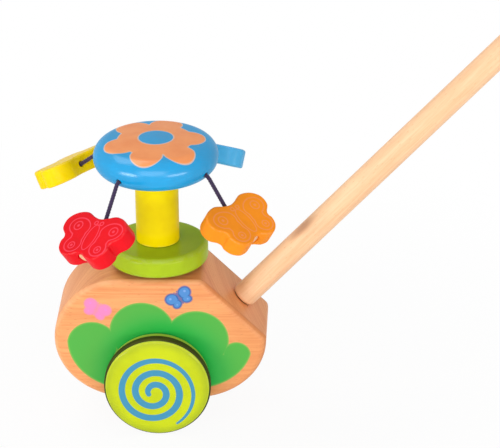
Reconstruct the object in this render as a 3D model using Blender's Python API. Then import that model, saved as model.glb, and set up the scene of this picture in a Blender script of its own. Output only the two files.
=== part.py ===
"""Toddler push toy: a two-wheeled wooden block on a push rod, whose wheels turn a small
carousel of four painted wooden butterflies hanging on cords.

Metres, +Z up. The origin is on the carousel's vertical axis, at the flat underside of the
block. The toy travels towards -X, and the push rod rises towards +X.
"""

import math

import bmesh
import bpy
from mathutils import Matrix, Vector

# Clearances
SEAT_GAP = 0.0003          # between pieces that touch, are glued or are pressed together
RUNNING_GAP = 0.0004       # beside a washer
TURNING_GAP = 0.0003       # round a shaft that turns

# Block
BODY_WIDTH = 0.050
BODY_HEIGHT = 0.078
BODY_NOSE_REACH = 0.0611   # carousel axis to the front end
BODY_TAIL_REACH = 0.0639   # carousel axis to the rear end
BODY_TOP_REAR = 0.027      # carousel axis to the top of the sloping shoulder
BODY_NOSE_RADIUS = 0.039
BODY_NOSE_UNDER_REACH = 0.0435
BODY_TAIL_UNDER_REACH = 0.0435
BODY_TAIL_FLAT = 0.0005    # upright stretch between the tail's curve and the shoulder's corner
SHOULDER_CORNER_RADIUS = 0.006
TAIL_CORNER_RADIUS = 0.0048
SHOULDER_ANGLE = math.radians(45)
BODY_EDGE_RADIUS = 0.004

# Wheels and axle
AXLE_HEIGHT = 0.015
AXLE_RADIUS = 0.004
WHEEL_RADIUS = 0.0306
WHEEL_THICKNESS = 0.012
WHEEL_EDGE_RADIUS = 0.0014
WHEEL_FACE_ROUNDING = 0.005    # how far in from the tread the outer face is rounded
WHEEL_BORE_DEPTH = 0.009
WHEEL_WASHER_RADIUS = 0.009
WHEEL_WASHER_THICKNESS = 0.0012
TYRE_GROOVE_DEPTH = 0.0012
TYRE_WIDTH = 0.005
TYRE_STAND_OUT = 0.0009
TYRE_FACE_INSET = 0.002
TYRE_EDGE_RADIUS = 0.0008

# Friction drive in the pocket under the block
POCKET_RADIUS = 0.0155
POCKET_HEIGHT = 0.036
ROLLER_RADIUS = 0.010
ROLLER_WIDTH = 0.005
ROLLER_OFFSET = 0.008      # from the carousel axis, along the axle
ROLLER_RING_DEPTH = 0.0016
ROLLER_RING_WIDTH = 0.003
DRIVE_DISC_RADIUS = 0.0135
DRIVE_DISC_THICKNESS = 0.008
DRIVE_DISC_EDGE_RADIUS = 0.0008
DRIVE_SOCKET_DEPTH = 0.0035
SCREW_HEAD_RADIUS = 0.003
SCREW_HEAD_HEIGHT = 0.0016
SCREW_SHANK_RADIUS = 0.0013
SCREW_LENGTH = 0.014

# Cover of the pocket
COVER_LENGTH = 0.036
COVER_THICKNESS = 0.0025
COVER_CORNER_RADIUS = 0.004
COVER_SHIFT = 0.001
COVER_SCREW_INSET = 0.004
COVER_SCREW_HEAD_RADIUS = 0.0026
COVER_SCREW_SHANK_RADIUS = 0.0012
COVER_SCREW_LENGTH = 0.013
COVER_SCREW_SUNK = 0.0002

# Spindle and its bushes
SPINDLE_RADIUS = 0.005
BUSH_RADIUS = 0.007
BUSH_LENGTH = 0.010
BUSH_FLANGE_RADIUS = 0.0085
BUSH_FLANGE_THICKNESS = 0.0012

# Turntable, post and top disc
TURNTABLE_RADIUS = 0.0295
TURNTABLE_THICKNESS = 0.0125
TURNTABLE_EDGE_RADIUS = 0.0035
TURNTABLE_LIFT = 0.0033    # above the block's flat top
POST_RADIUS = 0.0127
POST_LENGTH = 0.0431
POST_EDGE_RADIUS = 0.0006
TOP_DISC_RADIUS = 0.0365
TOP_DISC_RIM_RADIUS = 0.0100
TOP_DISC_DOME_RISE = 0.0016
TOP_DISC_SOCKET_DEPTH = 0.012

# Cords
CORD_RADIUS = 0.00125
CORD_LENGTH = 0.0243       # free stretch, from the disc's rim to the butterfly's notch
CORD_HOLE_GAP = 0.0004
CORD_HOLE_DEPTH = 0.012
CORD_HOLE_MOUTH_RADIUS = 0.0021
CORD_HOLE_SLOPE = math.radians(22)    # below the widest line of the rim
CORD_ROOT_LENGTH = 0.009
CORD_SPACING = 0.005       # between the points along the cord

# Butterflies
BUTTERFLY_WIDTH = 0.0473
BUTTERFLY_HEIGHT = 0.0306
BUTTERFLY_THICKNESS = 0.0112
BUTTERFLY_EDGE_RADIUS = 0.0013
PLUG_RADIUS = 0.003
PLUG_LENGTH = 0.005
PLUG_CHAMFER = 0.0004
KNOT_RADIUS = 0.0024
KNOT_BORE_DEPTH = 0.0105
KNOT_REACH = 0.0155        # from the notch down to the knot's centre

# Push rod and its fixing
ROD_RADIUS = 0.0075
ROD_LENGTH = 0.520
ROD_CHAMFER = 0.0008
ROD_FOOT_ROUNDING = 0.0026
ROD_ANGLE = math.radians(43.6)    # from the vertical, a little steeper than square to the shoulder
ROD_STATION = 0.0313       # down the shoulder from its top corner
STUD_RADIUS = 0.0035
STUD_BODY_REACH = 0.021
STUD_ROD_REACH = 0.022
INSERT_RADIUS = 0.006
INSERT_LENGTH = 0.014
KNOB_RADIUS = 0.019
KNOB_SOCKET_DEPTH = 0.022

# Facets
FINE_STEPS = 40
ROUND_STEPS = 24
SMALL_STEPS = 12
CUT_OVERRUN = 0.002

# Half of the butterfly's outline, from the top notch to the bottom notch: each point as
# shares of half the width and of the whole height, the height measured from the wings' top.
HALF_WING_SHARES = (
    (0.00, 0.105), (0.20, 0.075), (0.48, 0.000), (0.79, 0.060), (0.985, 0.225),
    (0.97, 0.430), (0.80, 0.560), (0.755, 0.640), (0.78, 0.730), (0.71, 0.880),
    (0.52, 0.990), (0.28, 0.990), (0.11, 0.925), (0.00, 0.900),
)
WING_STEPS_PER_SPAN = 2

# Where each cord leaves the disc, how far the cord swings out and drifts sideways, and how
# the butterfly leans out, turns about its cord and tips in its own plane, all in degrees.
HANGERS = {
    "red": dict(place=237, swing=38, drift=4, lean=57, turn=-10, tip=0,
                colour=(0.82, 0.012, 0.022)),
    "orange": dict(place=327, swing=20, drift=17, lean=58, turn=-4, tip=-5,
                   colour=(0.95, 0.26, 0.035)),
    "blue": dict(place=57, swing=52, drift=17, lean=63, turn=3, tip=6,
                 colour=(0.10, 0.40, 0.68)),
    "yellow": dict(place=147, swing=52, drift=-2, lean=62, turn=-1, tip=-6,
                   colour=(0.98, 0.83, 0.02)),
}

# Places that follow from the sizes above
BODY_HALF_WIDTH = BODY_WIDTH / 2
AXLE_BORE_RADIUS = AXLE_RADIUS + TURNING_GAP
SPINDLE_BORE_RADIUS = SPINDLE_RADIUS + TURNING_GAP
WHEEL_INNER_FACE = BODY_HALF_WIDTH + WHEEL_WASHER_THICKNESS + RUNNING_GAP * 2
DRIVE_DISC_BOTTOM = AXLE_HEIGHT + ROLLER_RADIUS + SEAT_GAP
DRIVE_SOCKET_FLOOR = DRIVE_DISC_BOTTOM + DRIVE_DISC_THICKNESS - DRIVE_SOCKET_DEPTH
TURNTABLE_BOTTOM = BODY_HEIGHT + TURNTABLE_LIFT
POST_BOTTOM = TURNTABLE_BOTTOM + TURNTABLE_THICKNESS + SEAT_GAP
TOP_DISC_BOTTOM = POST_BOTTOM + POST_LENGTH + SEAT_GAP
SPINDLE_BOTTOM = DRIVE_SOCKET_FLOOR + SEAT_GAP
SPINDLE_TOP = TOP_DISC_BOTTOM + TOP_DISC_SOCKET_DEPTH - SEAT_GAP
PIVOT_TO_ROOT = CORD_RADIUS + SEAT_GAP
NOTCH_DEPTH = BUTTERFLY_HEIGHT * HALF_WING_SHARES[0][1]
NOTCH_TO_FOOT = BUTTERFLY_HEIGHT * (HALF_WING_SHARES[-1][1] - HALF_WING_SHARES[0][1])
ROD_DIRECTION = Vector((math.sin(ROD_ANGLE), 0, math.cos(ROD_ANGLE)))
SHOULDER_TOP = Vector((BODY_TOP_REAR, 0, BODY_HEIGHT))
SHOULDER_RUN = Vector((math.cos(SHOULDER_ANGLE), 0, -math.sin(SHOULDER_ANGLE)))
ROD_FOOT = SHOULDER_TOP + SHOULDER_RUN * ROD_STATION
ALONG_ROD = Matrix.Translation(ROD_FOOT) @ ROD_DIRECTION.to_track_quat("Z", "Y").to_matrix().to_4x4()


def clear_scene():
    for item in list(bpy.data.objects):
        bpy.data.objects.remove(item, do_unlink=True)


def material(name, colour, roughness, metallic=0.0):
    made = bpy.data.materials.get(name) or bpy.data.materials.new(name)
    made.use_nodes = True
    shader = made.node_tree.nodes["Principled BSDF"]
    shader.inputs["Base Color"].default_value = (*colour, 1.0)
    shader.inputs["Roughness"].default_value = roughness
    shader.inputs["Metallic"].default_value = metallic
    return made


def beech():
    return material("beech", (0.80, 0.52, 0.28), 0.45)


def dowel_wood():
    return material("dowel_wood", (0.88, 0.66, 0.42), 0.45)


def lime_paint():
    return material("lime_paint", (0.45, 0.62, 0.04), 0.30)


def cover_wood():
    return material("cover_plywood", (0.74, 0.55, 0.33), 0.6)


def nylon():
    return material("white_nylon", (0.85, 0.85, 0.82), 0.4)


def rubber():
    return material("dark_rubber", (0.035, 0.035, 0.02), 0.7)


def steel():
    return material("steel", (0.62, 0.62, 0.63), 0.3, 1.0)


def brass():
    return material("brass", (0.80, 0.60, 0.25), 0.3, 1.0)


def cord_fibre():
    return material("cord_fibre", (0.06, 0.04, 0.10), 0.85)


def place(name, mesh, skin, parent=None, matrix=None):
    """Make a named object from a mesh, on its parent's axis or in its parent's frame."""
    item = bpy.data.objects.new(name, mesh)
    bpy.context.scene.collection.objects.link(item)
    item.data.materials.clear()
    item.data.materials.append(skin)
    item.parent = parent
    item.matrix_local = matrix or Matrix()
    return item


def axis_empty(name, matrix, parent=None):
    item = bpy.data.objects.new(name, None)
    bpy.context.scene.collection.objects.link(item)
    item.empty_display_size = AXLE_RADIUS
    item.parent = parent
    item.matrix_local = matrix
    return item


def cut(target, name, mesh, matrix=None):
    """Cut a mesh out of an object, with the cutter in the object's own frame."""
    cutter = bpy.data.objects.new(name, mesh)
    bpy.context.scene.collection.objects.link(cutter)
    cutter.parent = target
    cutter.matrix_local = matrix or Matrix()
    cutter.hide_render = True
    cutter.display_type = "WIRE"
    modifier = target.modifiers.new(name, "BOOLEAN")
    modifier.operation = "DIFFERENCE"
    modifier.object = cutter
    return cutter


def finished_mesh(name, builder):
    bmesh.ops.recalc_face_normals(builder, faces=builder.faces)
    mesh = bpy.data.meshes.new(name)
    builder.to_mesh(mesh)
    builder.free()
    mesh.shade_smooth()
    mesh.set_sharp_from_angle(angle=math.radians(35))
    return mesh


def turned(name, profile, steps, ring=False):
    """Turn a profile of (radius, height) points about Z. A ring's profile closes on itself."""
    builder = bmesh.new()
    rows = []
    for radius, height in profile:
        if radius == 0:
            rows.append([builder.verts.new((0, 0, height))])
            continue
        turns = (math.tau * step / steps for step in range(steps))
        rows.append([builder.verts.new((radius * math.cos(turn), radius * math.sin(turn), height))
                     for turn in turns])
    pairs = list(zip(rows, rows[1:]))
    if ring:
        pairs.append((rows[-1], rows[0]))
    for low, high in pairs:
        for step in range(steps):
            after = (step + 1) % steps
            corners = [low[step % len(low)], low[after % len(low)],
                       high[after % len(high)], high[step % len(high)]]
            corners = list(dict.fromkeys(corners))
            builder.faces.new(corners)
    return finished_mesh(name, builder)


def arc(centre, radii, start, end, steps):
    """Points of an arc, or of a stretch of an ellipse, from start to end in degrees."""
    return [(centre[0] + radii[0] * math.cos(math.radians(start + (end - start) * step / steps)),
             centre[1] + radii[1] * math.sin(math.radians(start + (end - start) * step / steps)))
            for step in range(steps + 1)]


def rounded_corner(before, corner, after, radius, steps):
    """The arc that replaces a corner of an outline, where it turns to the left."""
    corner = Vector(corner)
    toward_before = (Vector(before) - corner).normalized()
    toward_after = (Vector(after) - corner).normalized()
    half = toward_before.angle(toward_after) / 2
    centre = corner + (toward_before + toward_after).normalized() * (radius / math.sin(half))
    into = math.atan2(-toward_before.y, -toward_before.x)
    turn = math.pi - half * 2
    points = []
    for step in range(steps + 1):
        spoke = into - math.pi / 2 + turn * step / steps
        points.append((centre.x + radius * math.cos(spoke), centre.y + radius * math.sin(spoke)))
    return points


def drawn_in(outline, amount):
    """The outline moved inward by an amount, corner by corner."""
    moved = []
    count = len(outline)
    for index in range(count):
        here = Vector(outline[index])
        into = (here - Vector(outline[index - 1])).normalized()
        out = (Vector(outline[(index + 1) % count]) - here).normalized()
        bisector = (Vector((-into.y, into.x)) + Vector((-out.y, out.x))).normalized()
        stretch = bisector.dot(Vector((-into.y, into.x)))
        moved.append(here + bisector * (amount / stretch))
    return moved


def slab(name, outline, thickness, edge_radius=0.0, edge_steps=0):
    """A plate in the XY plane, centred on it, with square or rounded edges. The outline runs
    anticlockwise."""
    builder = bmesh.new()
    levels = []
    for step in range(edge_steps + 1):
        turn = math.pi / 2 * step / max(edge_steps, 1)
        levels.append((edge_radius * (1 - math.sin(turn)),
                       edge_radius * (1 - math.cos(turn)) - thickness / 2))
    levels += [(inset, -height) for inset, height in reversed(levels)]
    rows = []
    for inset, height in levels:
        rows.append([builder.verts.new((point[0], point[1], height))
                     for point in drawn_in(outline, inset)])
    builder.faces.new(rows[0])
    builder.faces.new(rows[-1])
    count = len(outline)
    for low, high in zip(rows, rows[1:]):
        for index in range(count):
            after = (index + 1) % count
            builder.faces.new((low[index], low[after], high[after], high[index]))
    return finished_mesh(name, builder)


def rod_profile(radius, bottom, top, chamfer=0.0):
    """Profile of a plain round bar, with both ends chamfered if asked."""
    if not chamfer:
        return [(0, bottom), (radius, bottom), (radius, top), (0, top)]
    return [(0, bottom), (radius - chamfer, bottom), (radius, bottom + chamfer),
            (radius, top - chamfer), (radius - chamfer, top), (0, top)]


def tube_profile(inner, outer, bottom, top):
    return [(inner, bottom), (outer, bottom), (outer, top), (inner, top)]


def body_outline():
    """Side view of the block: round nose, flat top and a sloping shoulder behind."""
    shoulder_foot = (BODY_TAIL_REACH,
                     BODY_HEIGHT - (BODY_TAIL_REACH - BODY_TOP_REAR) * math.tan(SHOULDER_ANGLE))
    corner_reach = TAIL_CORNER_RADIUS * math.tan((math.pi / 2 - SHOULDER_ANGLE) / 2)
    tail_height = shoulder_foot[1] - corner_reach - BODY_TAIL_FLAT
    shoulder_top = (BODY_TOP_REAR, BODY_HEIGHT)
    nose_centre_height = BODY_HEIGHT - BODY_NOSE_RADIUS
    nose_top = -BODY_NOSE_REACH + BODY_NOSE_RADIUS
    tail = arc((BODY_TAIL_REACH - BODY_TAIL_UNDER_REACH, tail_height),
               (BODY_TAIL_UNDER_REACH, tail_height), -90, 0, 12)
    points = list(tail)
    points += rounded_corner(tail[-1], shoulder_foot, shoulder_top, TAIL_CORNER_RADIUS, 3)
    points += rounded_corner(shoulder_foot, shoulder_top, (nose_top, BODY_HEIGHT),
                             SHOULDER_CORNER_RADIUS, 3)
    points += arc((nose_top, nose_centre_height), (BODY_NOSE_RADIUS, BODY_NOSE_RADIUS), 90, 180, 12)
    points += arc((-BODY_NOSE_REACH + BODY_NOSE_UNDER_REACH, nose_centre_height),
                  (BODY_NOSE_UNDER_REACH, nose_centre_height), 180, 270, 12)[1:]
    return points


def cover_centre(height):
    return Matrix.Translation((COVER_SHIFT, 0, height))


def cover_outline(length):
    """Square with rounded corners, centred on its own origin."""
    half = length / 2
    corner = half - COVER_CORNER_RADIUS
    points = []
    for turn, (x, y) in zip((270, 0, 90, 180), ((1, -1), (1, 1), (-1, 1), (-1, -1))):
        points += arc((corner * x, corner * y), (COVER_CORNER_RADIUS, COVER_CORNER_RADIUS),
                      turn, turn + 90, 3)
    return points


def cover_screw_places():
    reach = COVER_LENGTH / 2 - COVER_SCREW_INSET
    return [Matrix.Translation((COVER_SHIFT + reach * x, reach * y, 0))
            for x, y in ((1, 1), (-1, 1), (-1, -1), (1, -1))]


def make_body():
    """The beech block, with the bores and the pocket that the mechanism needs."""
    mesh = slab("body_block", body_outline(), BODY_WIDTH, BODY_EDGE_RADIUS, 3)
    stand_up = Matrix.Rotation(math.radians(90), 4, "X")
    mesh.transform(stand_up)
    block = place("body_block", mesh, beech())
    bore = BUSH_RADIUS + SEAT_GAP
    cut(block, "spindle_bore_cutter", turned("spindle_bore_cutter", [
        (0, -CUT_OVERRUN), (POCKET_RADIUS, -CUT_OVERRUN), (POCKET_RADIUS, POCKET_HEIGHT),
        (bore, POCKET_HEIGHT), (bore, BODY_HEIGHT + CUT_OVERRUN), (0, BODY_HEIGHT + CUT_OVERRUN),
    ], ROUND_STEPS))
    recess = COVER_THICKNESS + SEAT_GAP
    recess_mesh = slab("cover_recess_cutter", cover_outline(COVER_LENGTH + SEAT_GAP * 2),
                       recess + CUT_OVERRUN)
    cut(block, "cover_recess_cutter", recess_mesh, cover_centre((recess - CUT_OVERRUN) / 2))
    axle_bore = turned("axle_bore_cutter", rod_profile(
        AXLE_BORE_RADIUS, -BODY_HALF_WIDTH - CUT_OVERRUN, BODY_HALF_WIDTH + CUT_OVERRUN), SMALL_STEPS)
    cut(block, "axle_bore_cutter", axle_bore, Matrix.Translation((0, 0, AXLE_HEIGHT)) @ stand_up)
    insert_bore = INSERT_RADIUS + SEAT_GAP
    stud_bore = STUD_RADIUS + SEAT_GAP
    insert_floor = -INSERT_LENGTH - SEAT_GAP * 2
    stud_floor = -STUD_BODY_REACH - SEAT_GAP
    cut(block, "rod_fixing_cutter", turned("rod_fixing_cutter", [
        (0, stud_floor), (stud_bore, stud_floor), (stud_bore, insert_floor),
        (insert_bore, insert_floor), (insert_bore, CUT_OVERRUN), (0, CUT_OVERRUN),
    ], SMALL_STEPS), ALONG_ROD)
    pilot = turned("cover_screw_cutter", rod_profile(
        COVER_SCREW_SHANK_RADIUS + SEAT_GAP, -CUT_OVERRUN, COVER_SCREW_LENGTH + SEAT_GAP * 2), SMALL_STEPS)
    for number, spot in enumerate(cover_screw_places(), 1):
        cut(block, f"cover_screw_cutter_{number}", pilot, spot)
    return block


def make_cover():
    """Plywood plate let into the underside, held by four countersunk screws."""
    mesh = slab("base_cover", cover_outline(COVER_LENGTH), COVER_THICKNESS)
    cover = place("base_cover", mesh, cover_wood(), None, cover_centre(COVER_THICKNESS / 2))
    head = COVER_SCREW_HEAD_RADIUS
    shank = COVER_SCREW_SHANK_RADIUS
    head_foot = COVER_SCREW_SUNK + head - shank
    top = COVER_SCREW_SUNK + COVER_SCREW_LENGTH
    screw = turned("cover_screw", [
        (0, COVER_SCREW_SUNK), (head, COVER_SCREW_SUNK), (shank, head_foot),
        (shank, top - shank), (0, top),
    ], SMALL_STEPS)
    gap = SEAT_GAP
    sink = turned("cover_sink_cutter", [
        (0, -CUT_OVERRUN), (head + gap, -CUT_OVERRUN), (head + gap, COVER_SCREW_SUNK),
        (shank + gap, head_foot), (shank + gap, COVER_THICKNESS + CUT_OVERRUN),
        (0, COVER_THICKNESS + CUT_OVERRUN),
    ], SMALL_STEPS)
    for number, spot in enumerate(cover_screw_places(), 1):
        cut(cover, f"cover_sink_cutter_{number}", sink,
            Matrix.Translation((-COVER_SHIFT, 0, -COVER_THICKNESS / 2)) @ spot)
        place(f"cover_screw_{number}", screw, steel(), None, spot)


def make_rod():
    """Push rod, screwed into the sloping shoulder, with a ball at its upper end."""
    insert = turned("rod_insert", tube_profile(
        STUD_RADIUS + SEAT_GAP, INSERT_RADIUS, -INSERT_LENGTH - SEAT_GAP, -SEAT_GAP), SMALL_STEPS, True)
    place("rod_insert", insert, brass(), None, ALONG_ROD)
    stud = turned("rod_stud", rod_profile(
        STUD_RADIUS, -STUD_BODY_REACH, STUD_ROD_REACH, ROD_CHAMFER), SMALL_STEPS)
    place("rod_stud", stud, steel(), None, ALONG_ROD)
    foot = SEAT_GAP
    head = SEAT_GAP + ROD_LENGTH
    stud_bore = STUD_RADIUS + SEAT_GAP
    bore_top = STUD_ROD_REACH + SEAT_GAP
    rod = turned("push_rod", [
        (0, bore_top), (stud_bore, bore_top), (stud_bore, foot),
        *arc((ROD_RADIUS - ROD_FOOT_ROUNDING, foot + ROD_FOOT_ROUNDING),
             (ROD_FOOT_ROUNDING, ROD_FOOT_ROUNDING), -90, 0, 5),
        (ROD_RADIUS, head - ROD_CHAMFER),
        (ROD_RADIUS - ROD_CHAMFER, head), (0, head),
    ], ROUND_STEPS)
    place("push_rod", rod, dowel_wood(), None, ALONG_ROD)
    socket = ROD_RADIUS + SEAT_GAP
    mouth = head + SEAT_GAP - KNOB_SOCKET_DEPTH
    seat_height = math.sqrt(KNOB_RADIUS ** 2 - socket ** 2)
    seat_angle = math.degrees(math.atan2(-seat_height, socket))
    ball = arc((0, mouth + seat_height), (KNOB_RADIUS, KNOB_RADIUS), seat_angle, 90, 14)
    knob = turned("rod_knob", [(0, head + SEAT_GAP), (socket, head + SEAT_GAP)]
                  + ball[:-1] + [(0, mouth + seat_height + KNOB_RADIUS)], ROUND_STEPS)
    place("rod_knob", knob, lime_paint(), None, ALONG_ROD)


def facing(side):
    """Rotation that turns +Z to the front side (-Y) for -1, or to the back (+Y) for 1."""
    return Matrix.Rotation(math.radians(-90 * side), 4, "X")


def make_axle_group():
    """Everything that turns with the wheels: axle, wheels, tyres, washers, friction roller."""
    axis = axis_empty("axle_axis", Matrix.Translation((0, 0, AXLE_HEIGHT)))
    axle_end = WHEEL_INNER_FACE + WHEEL_BORE_DEPTH - SEAT_GAP
    place("axle", turned("axle", rod_profile(AXLE_RADIUS, -axle_end, axle_end, ROD_CHAMFER),
                         SMALL_STEPS), dowel_wood(), axis, facing(-1))
    edge = WHEEL_EDGE_RADIUS
    groove_top = WHEEL_THICKNESS - TYRE_FACE_INSET + SEAT_GAP
    groove_foot = groove_top - TYRE_WIDTH - SEAT_GAP * 2
    groove = WHEEL_RADIUS - TYRE_GROOVE_DEPTH
    bore = AXLE_RADIUS + SEAT_GAP
    rim = WHEEL_RADIUS - edge
    wheel = turned("wheel", [(0, WHEEL_BORE_DEPTH), (bore, WHEEL_BORE_DEPTH), (bore, 0)]
                   + arc((rim, edge), (edge, edge), -90, 0, 3)
                   + [(WHEEL_RADIUS, groove_foot), (groove, groove_foot), (groove, groove_top)]
                   + arc((WHEEL_RADIUS - WHEEL_FACE_ROUNDING, groove_top),
                         (WHEEL_FACE_ROUNDING, WHEEL_THICKNESS - groove_top), 0, 90, 6)
                   + [(0, WHEEL_THICKNESS)], FINE_STEPS)
    tyre_foot = groove_foot + SEAT_GAP
    tyre_top = tyre_foot + TYRE_WIDTH
    tyre_out = WHEEL_RADIUS + TYRE_STAND_OUT
    soft = TYRE_EDGE_RADIUS
    tyre_in = groove + SEAT_GAP
    tyre = turned("tyre", [(tyre_in, tyre_foot)]
                  + arc((tyre_out - soft, tyre_foot + soft), (soft, soft), -90, 0, 2)
                  + arc((tyre_out - soft, tyre_top - soft), (soft, soft), 0, 90, 2)
                  + [(tyre_in, tyre_top)], FINE_STEPS, True)
    washer = turned("wheel_washer", tube_profile(
        AXLE_BORE_RADIUS, WHEEL_WASHER_RADIUS, 0, WHEEL_WASHER_THICKNESS), ROUND_STEPS, True)
    for side, word in ((-1, "front"), (1, "back")):
        out = Matrix.Translation((0, side * WHEEL_INNER_FACE, 0)) @ facing(side)
        place(f"wheel_{word}", wheel, lime_paint(), axis, out)
        place(f"tyre_{word}", tyre, rubber(), axis, out)
        inner = Matrix.Translation((0, side * (BODY_HALF_WIDTH + RUNNING_GAP), 0)) @ facing(side)
        place(f"wheel_washer_{word}", washer, nylon(), axis, inner)
    make_roller(axis)
    return axis


def make_roller(axis):
    """The friction roller on the axle, off the carousel's axis, with a rubber ring round it."""
    half = ROLLER_WIDTH / 2
    ring_half = ROLLER_RING_WIDTH / 2
    core = ROLLER_RADIUS - SEAT_GAP * 2
    groove = ROLLER_RADIUS - ROLLER_RING_DEPTH
    bore = AXLE_RADIUS + SEAT_GAP
    slot = ring_half + SEAT_GAP
    spot = Matrix.Translation((0, -ROLLER_OFFSET, 0)) @ facing(-1)
    roller = turned("friction_roller", [
        (bore, -half), (core, -half), (core, -slot), (groove, -slot),
        (groove, slot), (core, slot), (core, half), (bore, half)], ROUND_STEPS, True)
    place("friction_roller", roller, beech(), axis, spot)
    ring = turned("friction_ring", tube_profile(
        groove + SEAT_GAP, ROLLER_RADIUS, -ring_half, ring_half), ROUND_STEPS, True)
    place("friction_ring", ring, rubber(), axis, spot)


def make_bushes():
    """Flanged bushes at the top and bottom of the spindle's bore."""
    inner = SPINDLE_BORE_RADIUS
    bush = turned("spindle_bush", [
        (inner, -BUSH_LENGTH), (BUSH_RADIUS, -BUSH_LENGTH), (BUSH_RADIUS, SEAT_GAP),
        (BUSH_FLANGE_RADIUS, SEAT_GAP), (BUSH_FLANGE_RADIUS, SEAT_GAP + BUSH_FLANGE_THICKNESS),
        (inner, SEAT_GAP + BUSH_FLANGE_THICKNESS)], ROUND_STEPS, True)
    place("spindle_bush_top", bush, nylon(), None, Matrix.Translation((0, 0, BODY_HEIGHT)))
    upside_down = Matrix.Rotation(math.radians(180), 4, "X")
    place("spindle_bush_bottom", bush, nylon(), None,
          Matrix.Translation((0, 0, POCKET_HEIGHT)) @ upside_down)


def make_carousel():
    """Everything that turns about the vertical spindle, without the butterflies."""
    axis = axis_empty("carousel_axis", Matrix())
    spindle_core = (SCREW_SHANK_RADIUS + SEAT_GAP, SPINDLE_BOTTOM + SCREW_LENGTH)
    place("spindle", turned("spindle", [
        (0, spindle_core[1]), spindle_core, (spindle_core[0], SPINDLE_BOTTOM),
        (SPINDLE_RADIUS, SPINDLE_BOTTOM), (SPINDLE_RADIUS, SPINDLE_TOP), (0, SPINDLE_TOP),
    ], ROUND_STEPS), dowel_wood(), axis)

    low = DRIVE_DISC_BOTTOM
    high = low + DRIVE_DISC_THICKNESS
    socket = SPINDLE_RADIUS + SEAT_GAP
    head = SCREW_HEAD_RADIUS + SEAT_GAP
    head_seat = low + SCREW_HEAD_HEIGHT + SEAT_GAP * 2
    soft = DRIVE_DISC_EDGE_RADIUS
    place("drive_disc", turned("drive_disc", [
        (spindle_core[0], head_seat), (head, head_seat), (head, low)]
        + arc((DRIVE_DISC_RADIUS - soft, low + soft), (soft, soft), -90, 0, 2)
        + arc((DRIVE_DISC_RADIUS - soft, high - soft), (soft, soft), 0, 90, 2)
        + [(socket, high), (socket, DRIVE_SOCKET_FLOOR), (spindle_core[0], DRIVE_SOCKET_FLOOR)],
        ROUND_STEPS, True), beech(), axis)
    screw_low = low + SEAT_GAP
    screw_shoulder = screw_low + SCREW_HEAD_HEIGHT
    place("drive_disc_screw", turned("drive_disc_screw", [
        (0, screw_low), (SCREW_HEAD_RADIUS, screw_low), (SCREW_HEAD_RADIUS, screw_shoulder),
        (SCREW_SHANK_RADIUS, screw_shoulder), (SCREW_SHANK_RADIUS, screw_shoulder + SCREW_LENGTH),
        (0, screw_shoulder + SCREW_LENGTH + SCREW_SHANK_RADIUS),
    ], SMALL_STEPS), steel(), axis)

    edge = TURNTABLE_EDGE_RADIUS
    rim = TURNTABLE_RADIUS - edge
    table_top = TURNTABLE_BOTTOM + TURNTABLE_THICKNESS
    place("turntable", turned("turntable", [(socket, TURNTABLE_BOTTOM)]
          + arc((rim, TURNTABLE_BOTTOM + edge), (edge, edge), -90, 0, 4)
          + arc((rim, table_top - edge), (edge, edge), 0, 90, 4)
          + [(socket, table_top)], FINE_STEPS, True), lime_paint(), axis)

    soft = POST_EDGE_RADIUS
    post_top = POST_BOTTOM + POST_LENGTH
    place("post", turned("post", [
        (socket, POST_BOTTOM), (POST_RADIUS - soft, POST_BOTTOM), (POST_RADIUS, POST_BOTTOM + soft),
        (POST_RADIUS, post_top - soft), (POST_RADIUS - soft, post_top), (socket, post_top),
    ], ROUND_STEPS, True), material("yellow_paint", (1.0, 0.72, 0.01), 0.3), axis)

    round_rim = TOP_DISC_RIM_RADIUS
    rim = TOP_DISC_RADIUS - round_rim
    dome_radius = (rim ** 2 + TOP_DISC_DOME_RISE ** 2) / (2 * TOP_DISC_DOME_RISE)
    dome_turn = math.degrees(math.asin(rim / dome_radius))
    crown = TOP_DISC_BOTTOM + round_rim * 2 + TOP_DISC_DOME_RISE
    roof = TOP_DISC_BOTTOM + TOP_DISC_SOCKET_DEPTH
    disc = place("top_disc", turned("top_disc", [
        (0, roof), (socket, roof), (socket, TOP_DISC_BOTTOM)]
        + arc((rim, TOP_DISC_BOTTOM + round_rim), (round_rim, round_rim), -90, 90, 10)
        + arc((0, crown - dome_radius), (dome_radius, dome_radius), 90 - dome_turn, 90, 3)[1:-1]
        + [(0, crown)], FINE_STEPS), material("blue_paint", (0.02, 0.33, 0.72), 0.25), axis)
    return axis, disc


def cord_mouth(hanger):
    """Frame at the mouth of a cord's hole in the rim: +Z points out of the hole, and X runs
    round the disc, anticlockwise from above."""
    turn = math.radians(hanger["place"])
    radial = Vector((math.cos(turn), math.sin(turn), 0))
    rim_centre = TOP_DISC_RADIUS - TOP_DISC_RIM_RADIUS
    outward = radial * math.cos(CORD_HOLE_SLOPE) - Vector((0, 0, math.sin(CORD_HOLE_SLOPE)))
    point = radial * rim_centre + outward * TOP_DISC_RIM_RADIUS
    point.z += TOP_DISC_BOTTOM + TOP_DISC_RIM_RADIUS
    around = Vector((-math.sin(turn), math.cos(turn), 0))
    return frame(point, around, outward.cross(around), outward)


def frame(origin, x, y, z):
    matrix = Matrix((x, y, z)).transposed().to_4x4()
    matrix.translation = origin
    return matrix


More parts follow.
